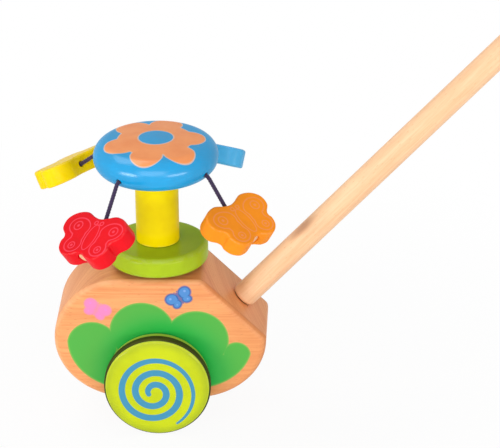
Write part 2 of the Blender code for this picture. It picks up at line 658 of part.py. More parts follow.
def cord_frame(hanger):
    """Frame at the cord's upper pivot, just outside its hole, where it clears the rim as it
    hangs: +Z runs down the cord, X is the swing's axis."""
    turn = math.radians(hanger["place"])
    swing = math.radians(hanger["swing"])
    drift = math.radians(hanger["drift"])
    radial = Vector((math.cos(turn), math.sin(turn), 0))
    around = Vector((-math.sin(turn), math.cos(turn), 0))
    hanging = radial * math.sin(swing) - Vector((0, 0, math.cos(swing)))
    down = hanging * math.cos(drift) + around * math.sin(drift)
    side = around * math.cos(drift) - hanging * math.sin(drift)
    pivot = cord_mouth(hanger) @ Vector((0, 0, PIVOT_TO_ROOT))
    return frame(pivot, side, down.cross(side), down)


def butterfly_frame(hanger):
    """Frame at the cord's lower pivot, in the middle of the notch: X along the wings, Y up
    the body, Z out of the printed face."""
    turn = math.radians(hanger["place"])
    lean = math.radians(hanger["lean"])
    radial = Vector((math.cos(turn), math.sin(turn), 0))
    up = Vector((0, 0, 1))
    body = up * math.cos(lean) - radial * math.sin(lean)
    face = radial * math.cos(lean) + up * math.sin(lean)
    upper = cord_frame(hanger)
    foot = upper @ Vector((0, 0, CORD_LENGTH))
    straight = frame(foot, body.cross(face), body, face)
    return (straight @ Matrix.Rotation(math.radians(hanger["turn"]), 4, "Y")
            @ Matrix.Rotation(math.radians(hanger["tip"]), 4, "Z"))


def smooth_run(points, steps):
    """Points of a Catmull-Rom curve through the given points, without the last one."""
    padded = [points[0] * 2 - points[1]] + points + [points[-1] * 2 - points[-2]]
    run = []
    for before, start, end, after in zip(padded, padded[1:], padded[2:], padded[3:]):
        for step in range(steps):
            t = step / steps
            run.append((start * 2 + (end - before) * t
                        + (before * 2 - start * 5 + end * 4 - after) * t ** 2
                        + (start * 3 - before - end * 3 + after) * t ** 3) / 2)
    return run


def butterfly_outline():
    """Both wings, anticlockwise, with the middle of the top notch at the origin."""
    half_width = BUTTERFLY_WIDTH / 2
    right = [Vector((x * half_width, NOTCH_DEPTH - y * BUTTERFLY_HEIGHT)) for x, y in HALF_WING_SHARES]
    left = [Vector((-point.x, point.y)) for point in right]
    mirrored_end = [left[1]] + right + [left[-2]]
    run = smooth_run(mirrored_end, WING_STEPS_PER_SPAN)
    run = run[WING_STEPS_PER_SPAN:-WING_STEPS_PER_SPAN]
    wing = run + [right[-1]]
    other = [Vector((-point.x, point.y)) for point in wing[1:-1]]
    clockwise = wing + list(reversed(other))
    return list(reversed(clockwise))


def along_body(reach=0.0):
    """Local frame whose +Z runs down the butterfly's body from the notch."""
    return Matrix.Translation((0, -reach, 0)) @ Matrix.Rotation(math.radians(90), 4, "X")


def make_hangers(carousel, disc):
    """The four butterflies, each on its cord, with the cord's ends in their holes."""
    hole = CORD_RADIUS + CORD_HOLE_GAP
    mouth = CORD_HOLE_MOUTH_RADIUS
    mouth_depth = mouth - hole
    lead_in = [(mouth, -CUT_OVERRUN), (mouth, 0), (hole, mouth_depth)]
    rim_cutter = turned("cord_hole_cutter", [(0, -CUT_OVERRUN)] + lead_in
                        + [(hole, CORD_HOLE_DEPTH), (0, CORD_HOLE_DEPTH)], SMALL_STEPS)
    root = turned("cord_root", rod_profile(CORD_RADIUS, 0, CORD_ROOT_LENGTH), SMALL_STEPS)
    plug_bore = PLUG_RADIUS + SEAT_GAP
    knot_floor = NOTCH_TO_FOOT - KNOT_BORE_DEPTH
    body_cutter = turned("butterfly_bore_cutter", [(0, -CUT_OVERRUN)] + lead_in
                         + [(hole, knot_floor), (plug_bore, knot_floor),
                            (plug_bore, NOTCH_TO_FOOT + CUT_OVERRUN),
                            (0, NOTCH_TO_FOOT + CUT_OVERRUN)], SMALL_STEPS)
    tail_start = math.degrees(math.asin(CORD_RADIUS / KNOT_RADIUS)) - 90
    knot = turned("cord_knot", [(0, PIVOT_TO_ROOT), (CORD_RADIUS, PIVOT_TO_ROOT)]
                  + arc((0, KNOT_REACH), (KNOT_RADIUS, KNOT_RADIUS), tail_start, 90, 7)[:-1]
                  + [(0, KNOT_REACH + KNOT_RADIUS)], SMALL_STEPS)
    plug = turned("butterfly_plug", rod_profile(
        PLUG_RADIUS, NOTCH_TO_FOOT - PLUG_LENGTH, NOTCH_TO_FOOT, PLUG_CHAMFER), SMALL_STEPS)
    for name, hanger in HANGERS.items():
        into_rim = cord_mouth(hanger) @ Matrix.Rotation(math.radians(180), 4, "X")
        cut(disc, f"cord_hole_cutter_{name}", rim_cutter, into_rim)
        place(f"cord_root_{name}", root, cord_fibre(), carousel, into_rim)
        upper = cord_frame(hanger)
        swing = axis_empty(f"cord_swing_{name}", upper, carousel)
        place_cord(f"cord_{name}", swing)
        lower = axis_empty(f"butterfly_swing_{name}", upper.inverted() @ butterfly_frame(hanger), swing)
        wings = slab(f"butterfly_{name}", butterfly_outline(), BUTTERFLY_THICKNESS,
                     BUTTERFLY_EDGE_RADIUS, 2)
        paint = material(f"{name}_butterfly_paint", hanger["colour"], 0.3)
        item = place(f"butterfly_{name}", wings, paint, lower)
        cut(item, f"butterfly_bore_cutter_{name}", body_cutter, along_body())
        place(f"cord_knot_{name}", knot, cord_fibre(), lower, along_body())
        place(f"plug_{name}", plug, dowel_wood(), lower, along_body())


def place_cord(name, parent):
    """The free stretch of a cord: a straight taut tube with round ends about its pivots."""
    stops = [CORD_RADIUS * math.cos(math.radians(turn)) for turn in (15, 45, 70)]
    shares = [math.sin(math.radians(turn)) for turn in (15, 45, 70)]
    spans = max(2, round(CORD_LENGTH / CORD_SPACING))
    middle = [(CORD_LENGTH * step / spans, 1.0) for step in range(spans + 1)]
    start = [(-stop, share) for stop, share in zip(stops, shares)]
    end = [(CORD_LENGTH + stop, share) for stop, share in zip(reversed(stops), reversed(shares))]
    points = start + middle + end
    curve = bpy.data.curves.new(name, "CURVE")
    curve.dimensions = "3D"
    curve.bevel_depth = CORD_RADIUS
    curve.bevel_resolution = 2
    curve.use_fill_caps = True
    spline = curve.splines.new("POLY")
    spline.points.add(len(points) - 1)
    for point, (reach, share) in zip(spline.points, points):
        point.co = (0, 0, reach, 1)
        point.radius = share
    return place(name, curve, cord_fibre(), parent)


def build():
    clear_scene()
    make_body()
    make_cover()
    make_rod()
    make_axle_group()
    make_bushes()
    carousel, disc = make_carousel()
    make_hangers(carousel, disc)


build()
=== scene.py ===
import math

import bmesh
import bpy
from mathutils import Matrix, Vector


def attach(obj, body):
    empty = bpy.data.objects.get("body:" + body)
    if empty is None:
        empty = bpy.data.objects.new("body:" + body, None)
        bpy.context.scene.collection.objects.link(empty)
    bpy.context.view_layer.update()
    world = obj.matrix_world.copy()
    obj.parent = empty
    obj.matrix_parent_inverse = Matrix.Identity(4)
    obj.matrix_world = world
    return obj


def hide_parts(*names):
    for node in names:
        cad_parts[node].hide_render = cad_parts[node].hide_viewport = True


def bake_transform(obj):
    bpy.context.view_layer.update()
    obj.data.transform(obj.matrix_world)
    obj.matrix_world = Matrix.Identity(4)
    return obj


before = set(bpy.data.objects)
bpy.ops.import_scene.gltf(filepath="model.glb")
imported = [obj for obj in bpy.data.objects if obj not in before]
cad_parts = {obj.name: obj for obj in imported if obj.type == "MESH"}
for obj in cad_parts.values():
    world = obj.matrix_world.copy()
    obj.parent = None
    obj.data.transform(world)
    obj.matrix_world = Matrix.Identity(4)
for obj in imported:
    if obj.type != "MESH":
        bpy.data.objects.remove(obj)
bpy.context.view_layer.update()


# Camera
# A long lens on a stand, 1.7 m in front of the toy and above it, looking down at 25 degrees,
# with the toy to the left in the picture and the rod's upper end out of it.
def standing(origin, x, y, z):
    """Place of a frame from its origin and its three axes."""
    place = Matrix((x, y, z)).transposed().to_4x4()
    place.translation = origin
    return place


def added(name, data, place=Matrix()):
    """A new object in the scene, in its place."""
    item = bpy.data.objects.new(name, data)
    bpy.context.scene.collection.objects.link(item)
    item.matrix_world = place
    return item


camera_turn, camera_drop, camera_roll = (math.radians(angle) for angle in (-1.243, 24.784, -0.269))
looking = Vector((math.sin(camera_turn) * math.cos(camera_drop),
                  math.cos(camera_turn) * math.cos(camera_drop), -math.sin(camera_drop)))
level = Vector((math.cos(camera_turn), -math.sin(camera_turn), 0))
upright = level.cross(looking)
across = level * math.cos(camera_roll) + upright * math.sin(camera_roll)
upward = upright * math.cos(camera_roll) - level * math.sin(camera_roll)
lens = bpy.data.cameras.new("camera")
lens.sensor_fit = "HORIZONTAL"
lens.sensor_width, lens.lens = 36, 201.34
lens.shift_x, lens.shift_y = -0.082443, -0.010920
lens.clip_end = 20
bpy.context.scene.camera = added("camera", lens, standing(
    (0.110861, -1.489016, 0.795162), across, upward, -looking))


# Block
# Solid beech, sawn to its outline, rounded over at the edges and clear lacquered. A bush and
# two small butterflies are printed on the near side. All other pieces are fixed in or on it.
class Signal:
    """One output of a shader node. Python's operators on it add Math nodes."""

    def __init__(self, socket):
        self.socket = socket

    def node(self, kind, settings, inputs, output=0):
        """Add a node: first its settings, then what its sockets hold or are linked to."""
        tree = self.socket.id_data
        made = tree.nodes.new(kind)
        for name, value in settings.items():
            setattr(made, name, value)
        for key, value in inputs.items():
            if isinstance(value, Signal):
                tree.links.new(value.socket, made.inputs[key])
            else:
                made.inputs[key].default_value = value
        return Signal(made.outputs[output])

    def maths(self, operation, *others):
        """A Math node on this signal and the others, if it takes any."""
        return self.node("ShaderNodeMath", {"operation": operation},
                         dict(enumerate((self, *others))))

    def __add__(self, other):
        return self.maths("ADD", other)

    __radd__ = __add__

    def __sub__(self, other):
        return self.maths("SUBTRACT", other)

    def __rsub__(self, other):
        return self.node("ShaderNodeMath", {"operation": "SUBTRACT"}, {0: other, 1: self})

    def __mul__(self, other):
        return self.maths("MULTIPLY", other)

    __rmul__ = __mul__

    def __truediv__(self, other):
        return self.maths("DIVIDE", other)

    def __rtruediv__(self, other):
        return self.node("ShaderNodeMath", {"operation": "DIVIDE"}, {0: other, 1: self})

    def __neg__(self):
        return self * -1.0

    def __abs__(self):
        return self.maths("ABSOLUTE")

    def smaller(self, other):
        return self.maths("MINIMUM", other)

    def larger(self, other):
        return self.maths("MAXIMUM", other)

    def melted(self, other, width):
        """The smaller of two distances, with the corner between them filled."""
        return self.maths("SMOOTH_MIN", other, width)

    def rise(self, low, high):
        """0 below low, 1 above high, and a smooth rise between them."""
        return self.node("ShaderNodeMapRange", {"interpolation_type": "SMOOTHSTEP"},
                         {"Value": self, "From Min": low, "From Max": high})

    def band(self, start, full, fading, end):
        """1 from full to fading, and 0 below start and above end."""
        return self.rise(start, full) * (1 - self.rise(fading, end))

    def within(self, softness):
        """1 where a distance to an outline is inside it, and 0 outside."""
        return 1 - self.rise(-softness, softness)

    def tint(self, below, above):
        """A colour: below where the signal is 0, and above where it is 1."""
        return self.node("ShaderNodeMix", {"data_type": "RGBA"}, {0: self, 6: below, 7: above}, 2)

    def vector(self, operation, other):
        return self.node("ShaderNodeVectorMath", {"operation": operation}, {0: self, 1: other})

    def length(self):
        return self.node("ShaderNodeVectorMath", {"operation": "LENGTH"}, {0: self}, "Value")

    def parts(self):
        """The three numbers of a vector."""
        split = self.node("ShaderNodeSeparateXYZ", {}, {0: self})
        return [Signal(socket) for socket in split.socket.node.outputs]

    def beside(self, other):
        """A plane's points: this signal is their first number, and the other their second."""
        return self.node("ShaderNodeCombineXYZ", {}, {0: self, 1: other})

    def flat(self, first, second):
        """The plane of two of the vector's numbers, given as 0, 1 or 2."""
        numbers = self.parts()
        return numbers[first].beside(numbers[second])

    def from_axis(self):
        """How far a point is from the piece's own Z axis."""
        return self.flat(0, 1).length()

    def about(self, centre, turn=0.0):
        """The plane with its origin at a centre, turned anticlockwise by so many degrees."""
        moved = self.vector("SUBTRACT", (*centre, 0))
        if turn:
            moved = moved.node("ShaderNodeVectorRotate", {"rotation_type": "Z_AXIS"},
                               {"Vector": moved, "Angle": -math.radians(turn)})
        return moved

    def spot(self, centre, radius):
        """Distance from a plane's points to a circle, less than 0 inside it."""
        return self.about(centre).length() - radius

    def oval(self, centre, radii, turn=0.0):
        """Distance to an ellipse, turned anticlockwise by so many degrees."""
        scaled = self.about(centre, turn).vector("DIVIDE", (*radii, 1))
        reach = scaled.length()
        return reach * (reach - 1) / (scaled.vector("DIVIDE", (*radii, 1)).length() + 0.0001)

    def noise(self, waves, detail=2.0, roughness=0.5, distortion=0.0):
        """Noise about 0.5, with so many waves in a millimetre, or so many along each axis."""
        scaled = self.vector("MULTIPLY", waves if isinstance(waves, tuple) else (waves,) * 3)
        return self.node("ShaderNodeTexNoise", {}, {
            "Vector": scaled, "Scale": 1.0, "Detail": detail, "Roughness": roughness,
            "Distortion": distortion})


def ink(red, green, blue):
    """A colour as a screen writes it, from 0 to 255, for a shader."""
    straight = [level / 255 for level in (red, green, blue)]
    return tuple(level / 12.92 if level < 0.04045 else ((level + 0.055) / 1.055) ** 2.4
                 for level in straight) + (1.0,)


def toned(colour, factor, lift=0.0):
    """A colour made lighter or darker."""
    return tuple(min(value * factor + lift, 1.0) for value in colour[:3]) + (1.0,)


def shaded(name, constants=None):
    """A new material, its shader, and the piece's own points in millimetres. The constants are
    what the shader's sockets hold all over the surface."""
    made = bpy.data.materials.new(name)
    made.use_nodes = True
    shader = made.node_tree.nodes["Principled BSDF"]
    for socket, value in (constants or {}).items():
        shader.inputs[socket].default_value = value
    points = made.node_tree.nodes.new("ShaderNodeTexCoord").outputs["Object"]
    return made, shader, Signal(points).vector("MULTIPLY", (1000, 1000, 1000))


def finish_with(shader, colour, roughness, height, coat=None):
    """Link what changes over a surface to its shader. The height is in millimetres."""
    normal = height.node("ShaderNodeBump", {}, {"Height": height, "Strength": 1.0,
                                                "Distance": 0.001}, "Normal")
    for socket, signal in (("Base Color", colour), ("Roughness", roughness), ("Normal", normal),
                           ("Coat Weight", coat)):
        if signal is not None:
            shader.id_data.links.new(signal.socket, shader.inputs[socket])


def wood(points, along, pale, deep, fleck):
    """Colour, roughness and height of lacquered wood whose grain runs along an axis. Its growth
    rings lie round a pith beside the piece, so they show as arcs on the end grain."""
    def run(lengthwise, crosswise):
        return tuple(lengthwise if axis == along else crosswise for axis in range(3))

    numbers = points.parts()
    lengthwise = numbers.pop(along)
    ring = numbers[0].beside(numbers[1]).about((38, -46)).length()
    grain = lengthwise.beside(ring)
    bands = grain.noise((0.006, 0.13, 1), 2.0, 0.5, 0.4)
    streaks = grain.noise((0.02, 0.74, 1), 3.0, 0.6, 0.2)
    fibres = points.noise(run(0.10, 2.4), 2.0, 0.6)
    pores = points.node("ShaderNodeTexVoronoi", {}, {
        "Vector": points.vector("MULTIPLY", run(0.17, 0.75)), "Scale": 1.0, "Randomness": 1.0},
        "Distance")
    specks = 1 - pores.rise(0.10, 0.20)
    tone = (bands * 0.45 + streaks * 0.95 + fibres * 0.40 - 0.46).rise(0.12, 0.78)
    colour = (specks * 0.42).tint(tone.tint(pale, deep), fleck)
    roughness = 0.40 + fibres * 0.14 + specks * 0.08
    height = fibres * 0.010 + streaks * 0.008 - specks * 0.006
    return colour, roughness, height


def arc(centre, radii, start, end, steps):
    """Points of an ellipse's arc, from start to end in degrees."""
    turns = [math.radians(start + (end - start) * step / steps) for step in range(steps + 1)]
    return [Vector((centre[0] + radii[0] * math.cos(turn), centre[1] + radii[1] * math.sin(turn)))
            for turn in turns]


def eased(before, corner, after, radius, steps):
    """The arc that takes off a corner where an outline turns to the left."""
    back, on = (before - corner).normalized(), (after - corner).normalized()
    half = back.angle(on) / 2
    centre = corner + (back + on).normalized() * (radius / math.sin(half))
    first = math.degrees(math.atan2(-back.y, -back.x)) - 90
    return arc(centre, (radius, radius), first, first + 180 - math.degrees(half) * 2, steps)


def drawn_in(outline, amount):
    """The outline moved inward by an amount, corner by corner."""
    moved = []
    for before, here, after in zip(outline[-1:] + outline[:-1], outline, outline[1:] + outline[:1]):
        into, out = (here - before).normalized(), (after - here).normalized()
        left = Vector((-into.y, into.x))
        middle = (left + Vector((-out.y, out.x))).normalized()
        moved.append(here + middle * (amount / middle.dot(left)))
    return moved


def smoothed(mesh, sharp=32):
    """The mesh shaded smooth, but for edges of more than so many degrees."""
    mesh.shade_smooth()
    mesh.set_sharp_from_angle(angle=math.radians(sharp))
    return mesh


def finished(name, builder):
    """The mesh of what was built, with its faces turned outward."""
    bmesh.ops.recalc_face_normals(builder, faces=builder.faces)
    mesh = bpy.data.meshes.new(name)
    builder.to_mesh(mesh)
    builder.free()
    return smoothed(mesh)


def skinned(builder, rows):
    """Faces between rows of as many points each, every row closed on itself."""
    for low, high in zip(rows, rows[1:]):
        for here in range(len(low)):
            after = (here + 1) % len(low)
            builder.faces.new((low[here], low[after], high[after], high[here]))
    builder.faces.new(rows[0])
    builder.faces.new(rows[-1])


def board(name, outline, thickness, edge, steps):
    """A plate in the XY plane, centred on it, with rounded edges."""
    levels = []
    for step in range(steps + 1):
        turn = math.pi / 2 * step / steps
        levels.append((edge * (1 - math.sin(turn)), edge * (1 - math.cos(turn)) - thickness / 2))
    levels += [(inset, -height) for inset, height in reversed(levels)]
    builder = bmesh.new()
    skinned(builder, [[builder.verts.new((point.x, point.y, height))
                       for point in drawn_in(outline, inset)] for inset, height in levels])
    return finished(name, builder)


def turned(name, profile, steps, ring=False):
    """A profile of (radius, height) points turned about Z. A ring's profile closes on itself."""
    builder = bmesh.new()
    rows = []
    for radius, height in profile:
        turns = [math.tau * step / steps for step in range(steps if radius else 1)]
        rows.append([builder.verts.new((radius * math.cos(turn), radius * math.sin(turn), height))
                     for turn in turns])
    for low, high in list(zip(rows, rows[1:])) + ([(rows[-1], rows[0])] if ring else []):
        for step in range(steps):
            after = (step + 1) % steps
            corners = [low[step % len(low)], low[after % len(low)],
                       high[after % len(high)], high[step % len(high)]]
            builder.faces.new(list(dict.fromkeys(corners)))
    return finished(name, builder)


def bar(radius, bottom, top):
    """Profile of a plain round bar."""
    return [(0, bottom), (radius, bottom), (radius, top), (0, top)]


def rotation(degrees, axis):
    return Matrix.Rotation(math.radians(degrees), 4, axis)


def without(mesh, cutters):
    """The mesh with every cutter taken out of it. A cutter is a mesh and its place."""
    blank = added("blank", mesh)
    tools = [added("tool", shape, place) for shape, place in cutters]
    for tool in tools:
        modifier = blank.modifiers.new("cut", "BOOLEAN")
        modifier.operation = "DIFFERENCE"
        modifier.object = tool
    bpy.context.view_layer.update()
    cut = bpy.data.meshes.new_from_object(
        blank.evaluated_get(bpy.context.evaluated_depsgraph_get()))
    for item in [blank, *tools]:
        bpy.data.objects.remove(item, do_unlink=True)
    cut.name = mesh.name + "_cut"
    return smoothed(cut)


def fitted(name, mesh, finish, body, place=Matrix(), stands_for=()):
    """Put a piece in its place, on its body, in its finish, for the CAD nodes it stands for."""
    item = added(name, mesh, place)
    mesh.materials.clear()
    mesh.materials.append(finish)
    item.modifiers.new("even_shading", "WEIGHTED_NORMAL").keep_sharp = True
    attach(item, body)
    if stands_for:
        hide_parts(*stands_for)
    return item


seat_gap = 0.0003      # between pieces that are pressed or glued together
block_width, block_height, block_edge = 0.050, 0.078, 0.004
nose_reach, nose_radius, nose_under_reach = 0.0611, 0.039, 0.0435
tail_reach, tail_under_reach, tail_corner, tail_flat = 0.0639, 0.0435, 0.0048, 0.0005
shoulder_start, shoulder_corner, shoulder_angle = 0.027, 0.006, math.radians(45)
shoulder_foot = Vector((tail_reach,
                        block_height - (tail_reach - shoulder_start) * math.tan(shoulder_angle)))
shoulder_top = Vector((shoulder_start, block_height))
tail_height = (shoulder_foot.y - tail_flat
               - tail_corner * math.tan((math.pi / 2 - shoulder_angle) / 2))
nose_height = block_height - nose_radius
nose_top = Vector((nose_radius - nose_reach, block_height))
block_outline = arc((tail_reach - tail_under_reach, tail_height), (tail_under_reach, tail_height),
                    -90, 0, 32)
block_outline += eased(block_outline[-1], shoulder_foot, shoulder_top, tail_corner, 8)
block_outline += eased(shoulder_foot, shoulder_top, nose_top, shoulder_corner, 8)
block_outline += arc((nose_top.x, nose_height), (nose_radius, nose_radius), 90, 180, 34)
block_outline += arc((nose_under_reach - nose_reach, nose_height), (nose_under_reach, nose_height),
                     180, 270, 34)[1:]

axle_height, axle_radius, turning_gap = 0.015, 0.004, 0.0003
pocket_radius, pocket_height, bush_radius = 0.0155, 0.036, 0.007
cover_length, cover_thickness, cover_corner, cover_shift = 0.036, 0.0025, 0.004, 0.001
cover_screw_inset, cover_screw_length, cover_screw_radius = 0.004, 0.013, 0.0012
rod_station, rod_angle, insert_radius, insert_length = 0.0313, math.radians(43.6), 0.006, 0.014
stud_radius, stud_body_reach = 0.0035, 0.021
past_face = 0.002      # how far a cutting tool stands out of the face it cuts
rod_direction = Vector((math.sin(rod_angle), 0, math.cos(rod_angle)))
rod_foot = (Vector((shoulder_start, 0, block_height))
            + Vector((math.cos(shoulder_angle), 0, -math.sin(shoulder_angle))) * rod_station)
along_rod = (Matrix.Translation(rod_foot)
             @ rod_direction.to_track_quat("Z", "Y").to_matrix().to_4x4())


def cover_outline(length):
    """Square with rounded corners, centred on its own origin."""
    corner = length / 2 - cover_corner
    points = []
    for turn, (x, y) in zip((270, 0, 90, 180), ((1, -1), (1, 1), (-1, 1), (-1, -1))):
        points += arc((corner * x, corner * y), (cover_corner, cover_corner), turn, turn + 90, 8)
    return points


screw_reach = cover_length / 2 - cover_screw_inset
cover_screw_places = [Matrix.Translation((cover_shift + screw_reach * x, screw_reach * y, 0))
                      for x, y in ((1, 1), (-1, 1), (-1, -1), (1, -1))]
recess, recess_edge = cover_thickness + seat_gap, 0.0001
bush_bore, insert_bore, stud_bore = (radius + seat_gap
                                     for radius in (bush_radius, insert_radius, stud_radius))
past_side, past_top = block_width / 2 + past_face, block_height + past_face
stud_floor, insert_floor = -stud_body_reach - seat_gap, -insert_length - seat_gap * 2
block_mesh = board("beech_block", block_outline, block_width, block_edge, 7)
block_mesh.transform(rotation(90, "X"))
pilot = turned("pilot_tool", bar(cover_screw_radius + seat_gap, -past_face,
                                 cover_screw_length + seat_gap * 2), 16)
block_mesh = without(block_mesh, [      # pocket and spindle, cover, axle, rod, cover screws
    (turned("spindle_bore_tool", [
        (0, -past_face), (pocket_radius, -past_face), (pocket_radius, pocket_height),
        (bush_bore, pocket_height), (bush_bore, past_top), (0, past_top)], 64), Matrix()),
    (board("recess_tool", cover_outline(cover_length + seat_gap * 2), recess + past_face,
           recess_edge, 1), Matrix.Translation((cover_shift, 0, (recess - past_face) / 2))),
    (turned("axle_bore_tool", bar(axle_radius + turning_gap, -past_side, past_side), 32),
     Matrix.Translation((0, 0, axle_height)) @ rotation(90, "X")),
    (turned("rod_fixing_tool", [
        (0, stud_floor), (stud_bore, stud_floor), (stud_bore, insert_floor),
        (insert_bore, insert_floor), (insert_bore, past_face), (0, past_face)], 32), along_rod),
] + [(pilot, spot) for spot in cover_screw_places])


def small_butterfly(plane, centre, turn):
    """Masks of a printed butterfly: its wings, their outline with the body, and its spots."""
    moved = plane.about(centre, turn)
    x, y, _ = moved.parts()
    half = abs(x).beside(y)
    wings = half.oval((4.3, 1.3), (3.9, 3.5), 20).smaller(half.oval((3.3, -2.9), (2.9, 2.3), -25))
    body = moved.oval((0, -0.4), (1.5, 4.2)).smaller(half.spot((0.9, 4.1), 0.5))
    spots = half.spot((5.0, 2.0), 0.7).smaller(half.spot((3.7, -3.2), 0.4))
    outline = (abs(wings) - 0.55).within(0.45)
    return wings.within(0.3), outline.larger(body.within(0.3)), spots.within(0.35)


beech, shader, points = shaded("beech", {"Specular IOR Level": 0.3})
colour, roughness, height = wood(points, 0, ink(245, 173, 112), ink(226, 141, 86),
                                 ink(190, 114, 70))
face = points.flat(0, 2)
forward, rising, _ = face.parts()
_, depth, _ = points.parts()
near_side = (-depth).rise(24.0, 24.4)

# The printed bush: round lobes under a level top, inside a wide margin
lobes = rising - 31
for centre, radius in (((-38.5, 36.5), 15), ((-9, 45), 19.3), ((23, 40), 19), ((46.5, 30.3), 8.3)):
    lobes = lobes.smaller(face.spot(centre, radius))
margin = face.oval((-17.5, 39), (35.8, 32)).smaller(face.oval((20.4, 38), (35.4, 30.5)))
margin = margin.smaller((abs(forward - 4.5) - 22).larger(8 - rising))
bush = lobes.larger(margin)
bush_mask = bush.within(0.22) * near_side
# Painted shade: the bush's green is darker round the wheel, where the wheel's shadow falls
wheel_shade_on_bush = face.about((3, 16)).length().rise(27, 47) + (points.noise(0.05, 3.0) - 0.5) * 0.3
leaf = wheel_shade_on_bush.tint(ink(34, 180, 72), ink(82, 174, 68))
leaf = (0.8 - (-bush).rise(0.1, 1.3) * 0.8).tint(leaf, ink(138, 184, 84))
# Painted shade: the near side's wood darkens towards the tail end, away from the light
colour = (near_side * forward.rise(20, 54) * 0.3).tint(colour, ink(214, 134, 78))
colour = bush_mask.tint(colour, leaf)

# The printed butterflies
printed = bush_mask
for centre, turn, fill, spot_colour, line in (
        ((-35.3, 60.0), -27, ink(240, 134, 192), ink(224, 136, 210), ink(242, 136, 176)),
        ((13.4, 67.7), 33, ink(62, 138, 206), ink(136, 172, 228), ink(34, 88, 160))):
    wings, lines, marks = (mask * near_side for mask in small_butterfly(face, centre, turn))
    colour = (wings * 0.96).tint(colour, fill)
    colour = (lines * 0.8).tint(colour, line)
    colour = (marks * 0.8).tint(colour, spot_colour)
    printed = printed.larger(wings.larger(lines))

# The rounded edges: painted shade darkens them at the shoulder and tail end, and a broken pale line
# along the rest is partly wear and partly painted highlight
shaded_end = forward.rise(24, 30)
rounded = abs(depth).band(20.6, 21.6, 23.4, 24.6)
# Painted shade on the rounded edges at the shoulder and tail end
colour = (rounded * shaded_end * 0.6).tint(colour, ink(208, 122, 62))
# Partly wear and partly painted highlight: pale patches along the rounded edges, few at the shaded
# end
wear_and_highlight = abs(depth).band(21.4, 22.4, 24.0, 24.8) * (1 - shaded_end * 0.8)
wear_and_highlight = wear_and_highlight * points.noise((0.09, 0.3, 0.09), 3.0).rise(0.3, 0.6)
colour = (wear_and_highlight * 0.4).tint(colour, ink(255, 200, 150))
finish_with(shader, colour, roughness - printed * 0.08 + wear_and_highlight * 0.08, height + printed * 0.012)
fitted("beech_block", block_mesh, beech, "body", stands_for=["body_block"])


# Cover and its screws
# A square of birch plywood let into the underside to close the mechanism's pocket, held by
# four small countersunk screws with a cross recess.
plywood, shader, points = shaded("birch_plywood")
ply_thickness = 0.83
across_plies = points.parts()[2]
veneer, roughness, height = wood(points, 0, ink(226, 196, 150), ink(205, 168, 118),
                                 ink(170, 128, 84))
layers = (across_plies * (math.tau / ply_thickness)).maths("SINE").rise(-0.2, 0.3)
side_edge = across_plies.band(0.25, 0.35, 2.2, 2.3)
colour = (layers * side_edge * 0.45).tint(veneer, ink(158, 112, 70))
finish_with(shader, colour, roughness + 0.1, height)

cover_screw_head, cover_screw_sunk, cover_edge = 0.0026, 0.0002, 0.0003
head_foot = cover_screw_sunk + cover_screw_head - cover_screw_radius
head_hole, shank_hole = cover_screw_head + seat_gap, cover_screw_radius + seat_gap
sink = turned("sink_tool", [
    (0, -past_face), (head_hole, -past_face), (head_hole, cover_screw_sunk),
    (shank_hole, head_foot), (shank_hole, cover_thickness + past_face),
    (0, cover_thickness + past_face)], 32)
cover_mesh = board("cover_plate", cover_outline(cover_length), cover_thickness, cover_edge, 3)
cover_mesh.transform(Matrix.Translation((cover_shift, 0, cover_thickness / 2)))
cover_mesh = without(cover_mesh, [(sink, spot) for spot in cover_screw_places])
fitted("cover_plate", cover_mesh, plywood, "body", stands_for=["base_cover"])


def metal(name, colour, base_roughness):
    """A plated or turned metal: fine turning marks, a little uneven in its shine."""
    made, shader, points = shaded(name, {"Metallic": 1.0})
    marks = points.noise((3.0, 3.0, 9.0), 3.0, 0.6)
    cloud = points.noise(0.5)
    finish_with(shader, cloud.tint(toned(colour, 0.86), colour),
                base_roughness + marks * 0.18 + cloud * 0.06, marks * 0.004)
    return made


def thread(radius, depth, start, pitch, turns):
    """Profile of a thread, from its first crest upward."""
    points = []
    for turn in range(turns):
        crest = start + turn * pitch
        points += [(radius, crest), (radius - depth, crest + pitch / 2)]
    return points


blade_half, blade_edge, blade_height = (0.0015, 0.00035), 0.0003, 0.0024
blade = board("blade_tool", [Vector((blade_half[0] * x, blade_half[1] * y)) for x, y in
                             ((-1, -1), (1, -1), (1, 1), (-1, 1))], blade_height, blade_edge, 2)


def cross_cut(screw, head_face, turn):
    """The screw with a cross recess in its head, turned by so many degrees."""
    return without(screw, [(blade, Matrix.Translation((0, 0, head_face)) @ rotation(angle, "Z"))
                           for angle in (turn, turn + 90)])


steel = metal("zinc_plated_steel", (0.66, 0.66, 0.67, 1.0), 0.22)
screw_top = cover_screw_sunk + cover_screw_length
screw_thread, screw_shank, screw_pitch = 0.0003, 0.0012, 0.00054
screw_mesh = turned("cross_head_screw", [
    (0, cover_screw_sunk), (cover_screw_head, cover_screw_sunk), (cover_screw_radius, head_foot)]
    + thread(cover_screw_radius, screw_thread, head_foot + screw_shank, screw_pitch, 18)
    + [(cover_screw_radius - screw_thread, screw_top - cover_screw_radius), (0, screw_top)], 32)
screw_mesh = cross_cut(screw_mesh, cover_screw_sunk, 0)
for number, (spot, turn) in enumerate(zip(cover_screw_places, (12, 51, -20, 33)), 1):
    fitted(f"cross_head_screw_{number}", screw_mesh.copy(), steel, "body",
           spot @ rotation(turn, "Z"), [f"cover_screw_{number}"])


# Push rod
# A long round beech dowel, nearly square to the sloping shoulder, where a steel stud in a brass
# insert holds it. It is sanded and lacquered. A painted ball is glued on its upper end.
dowel, shader, points = shaded("dowel")
colour, roughness, height = wood(points, 2, ink(250, 208, 164), ink(236, 182, 136),
                                 ink(214, 156, 108))
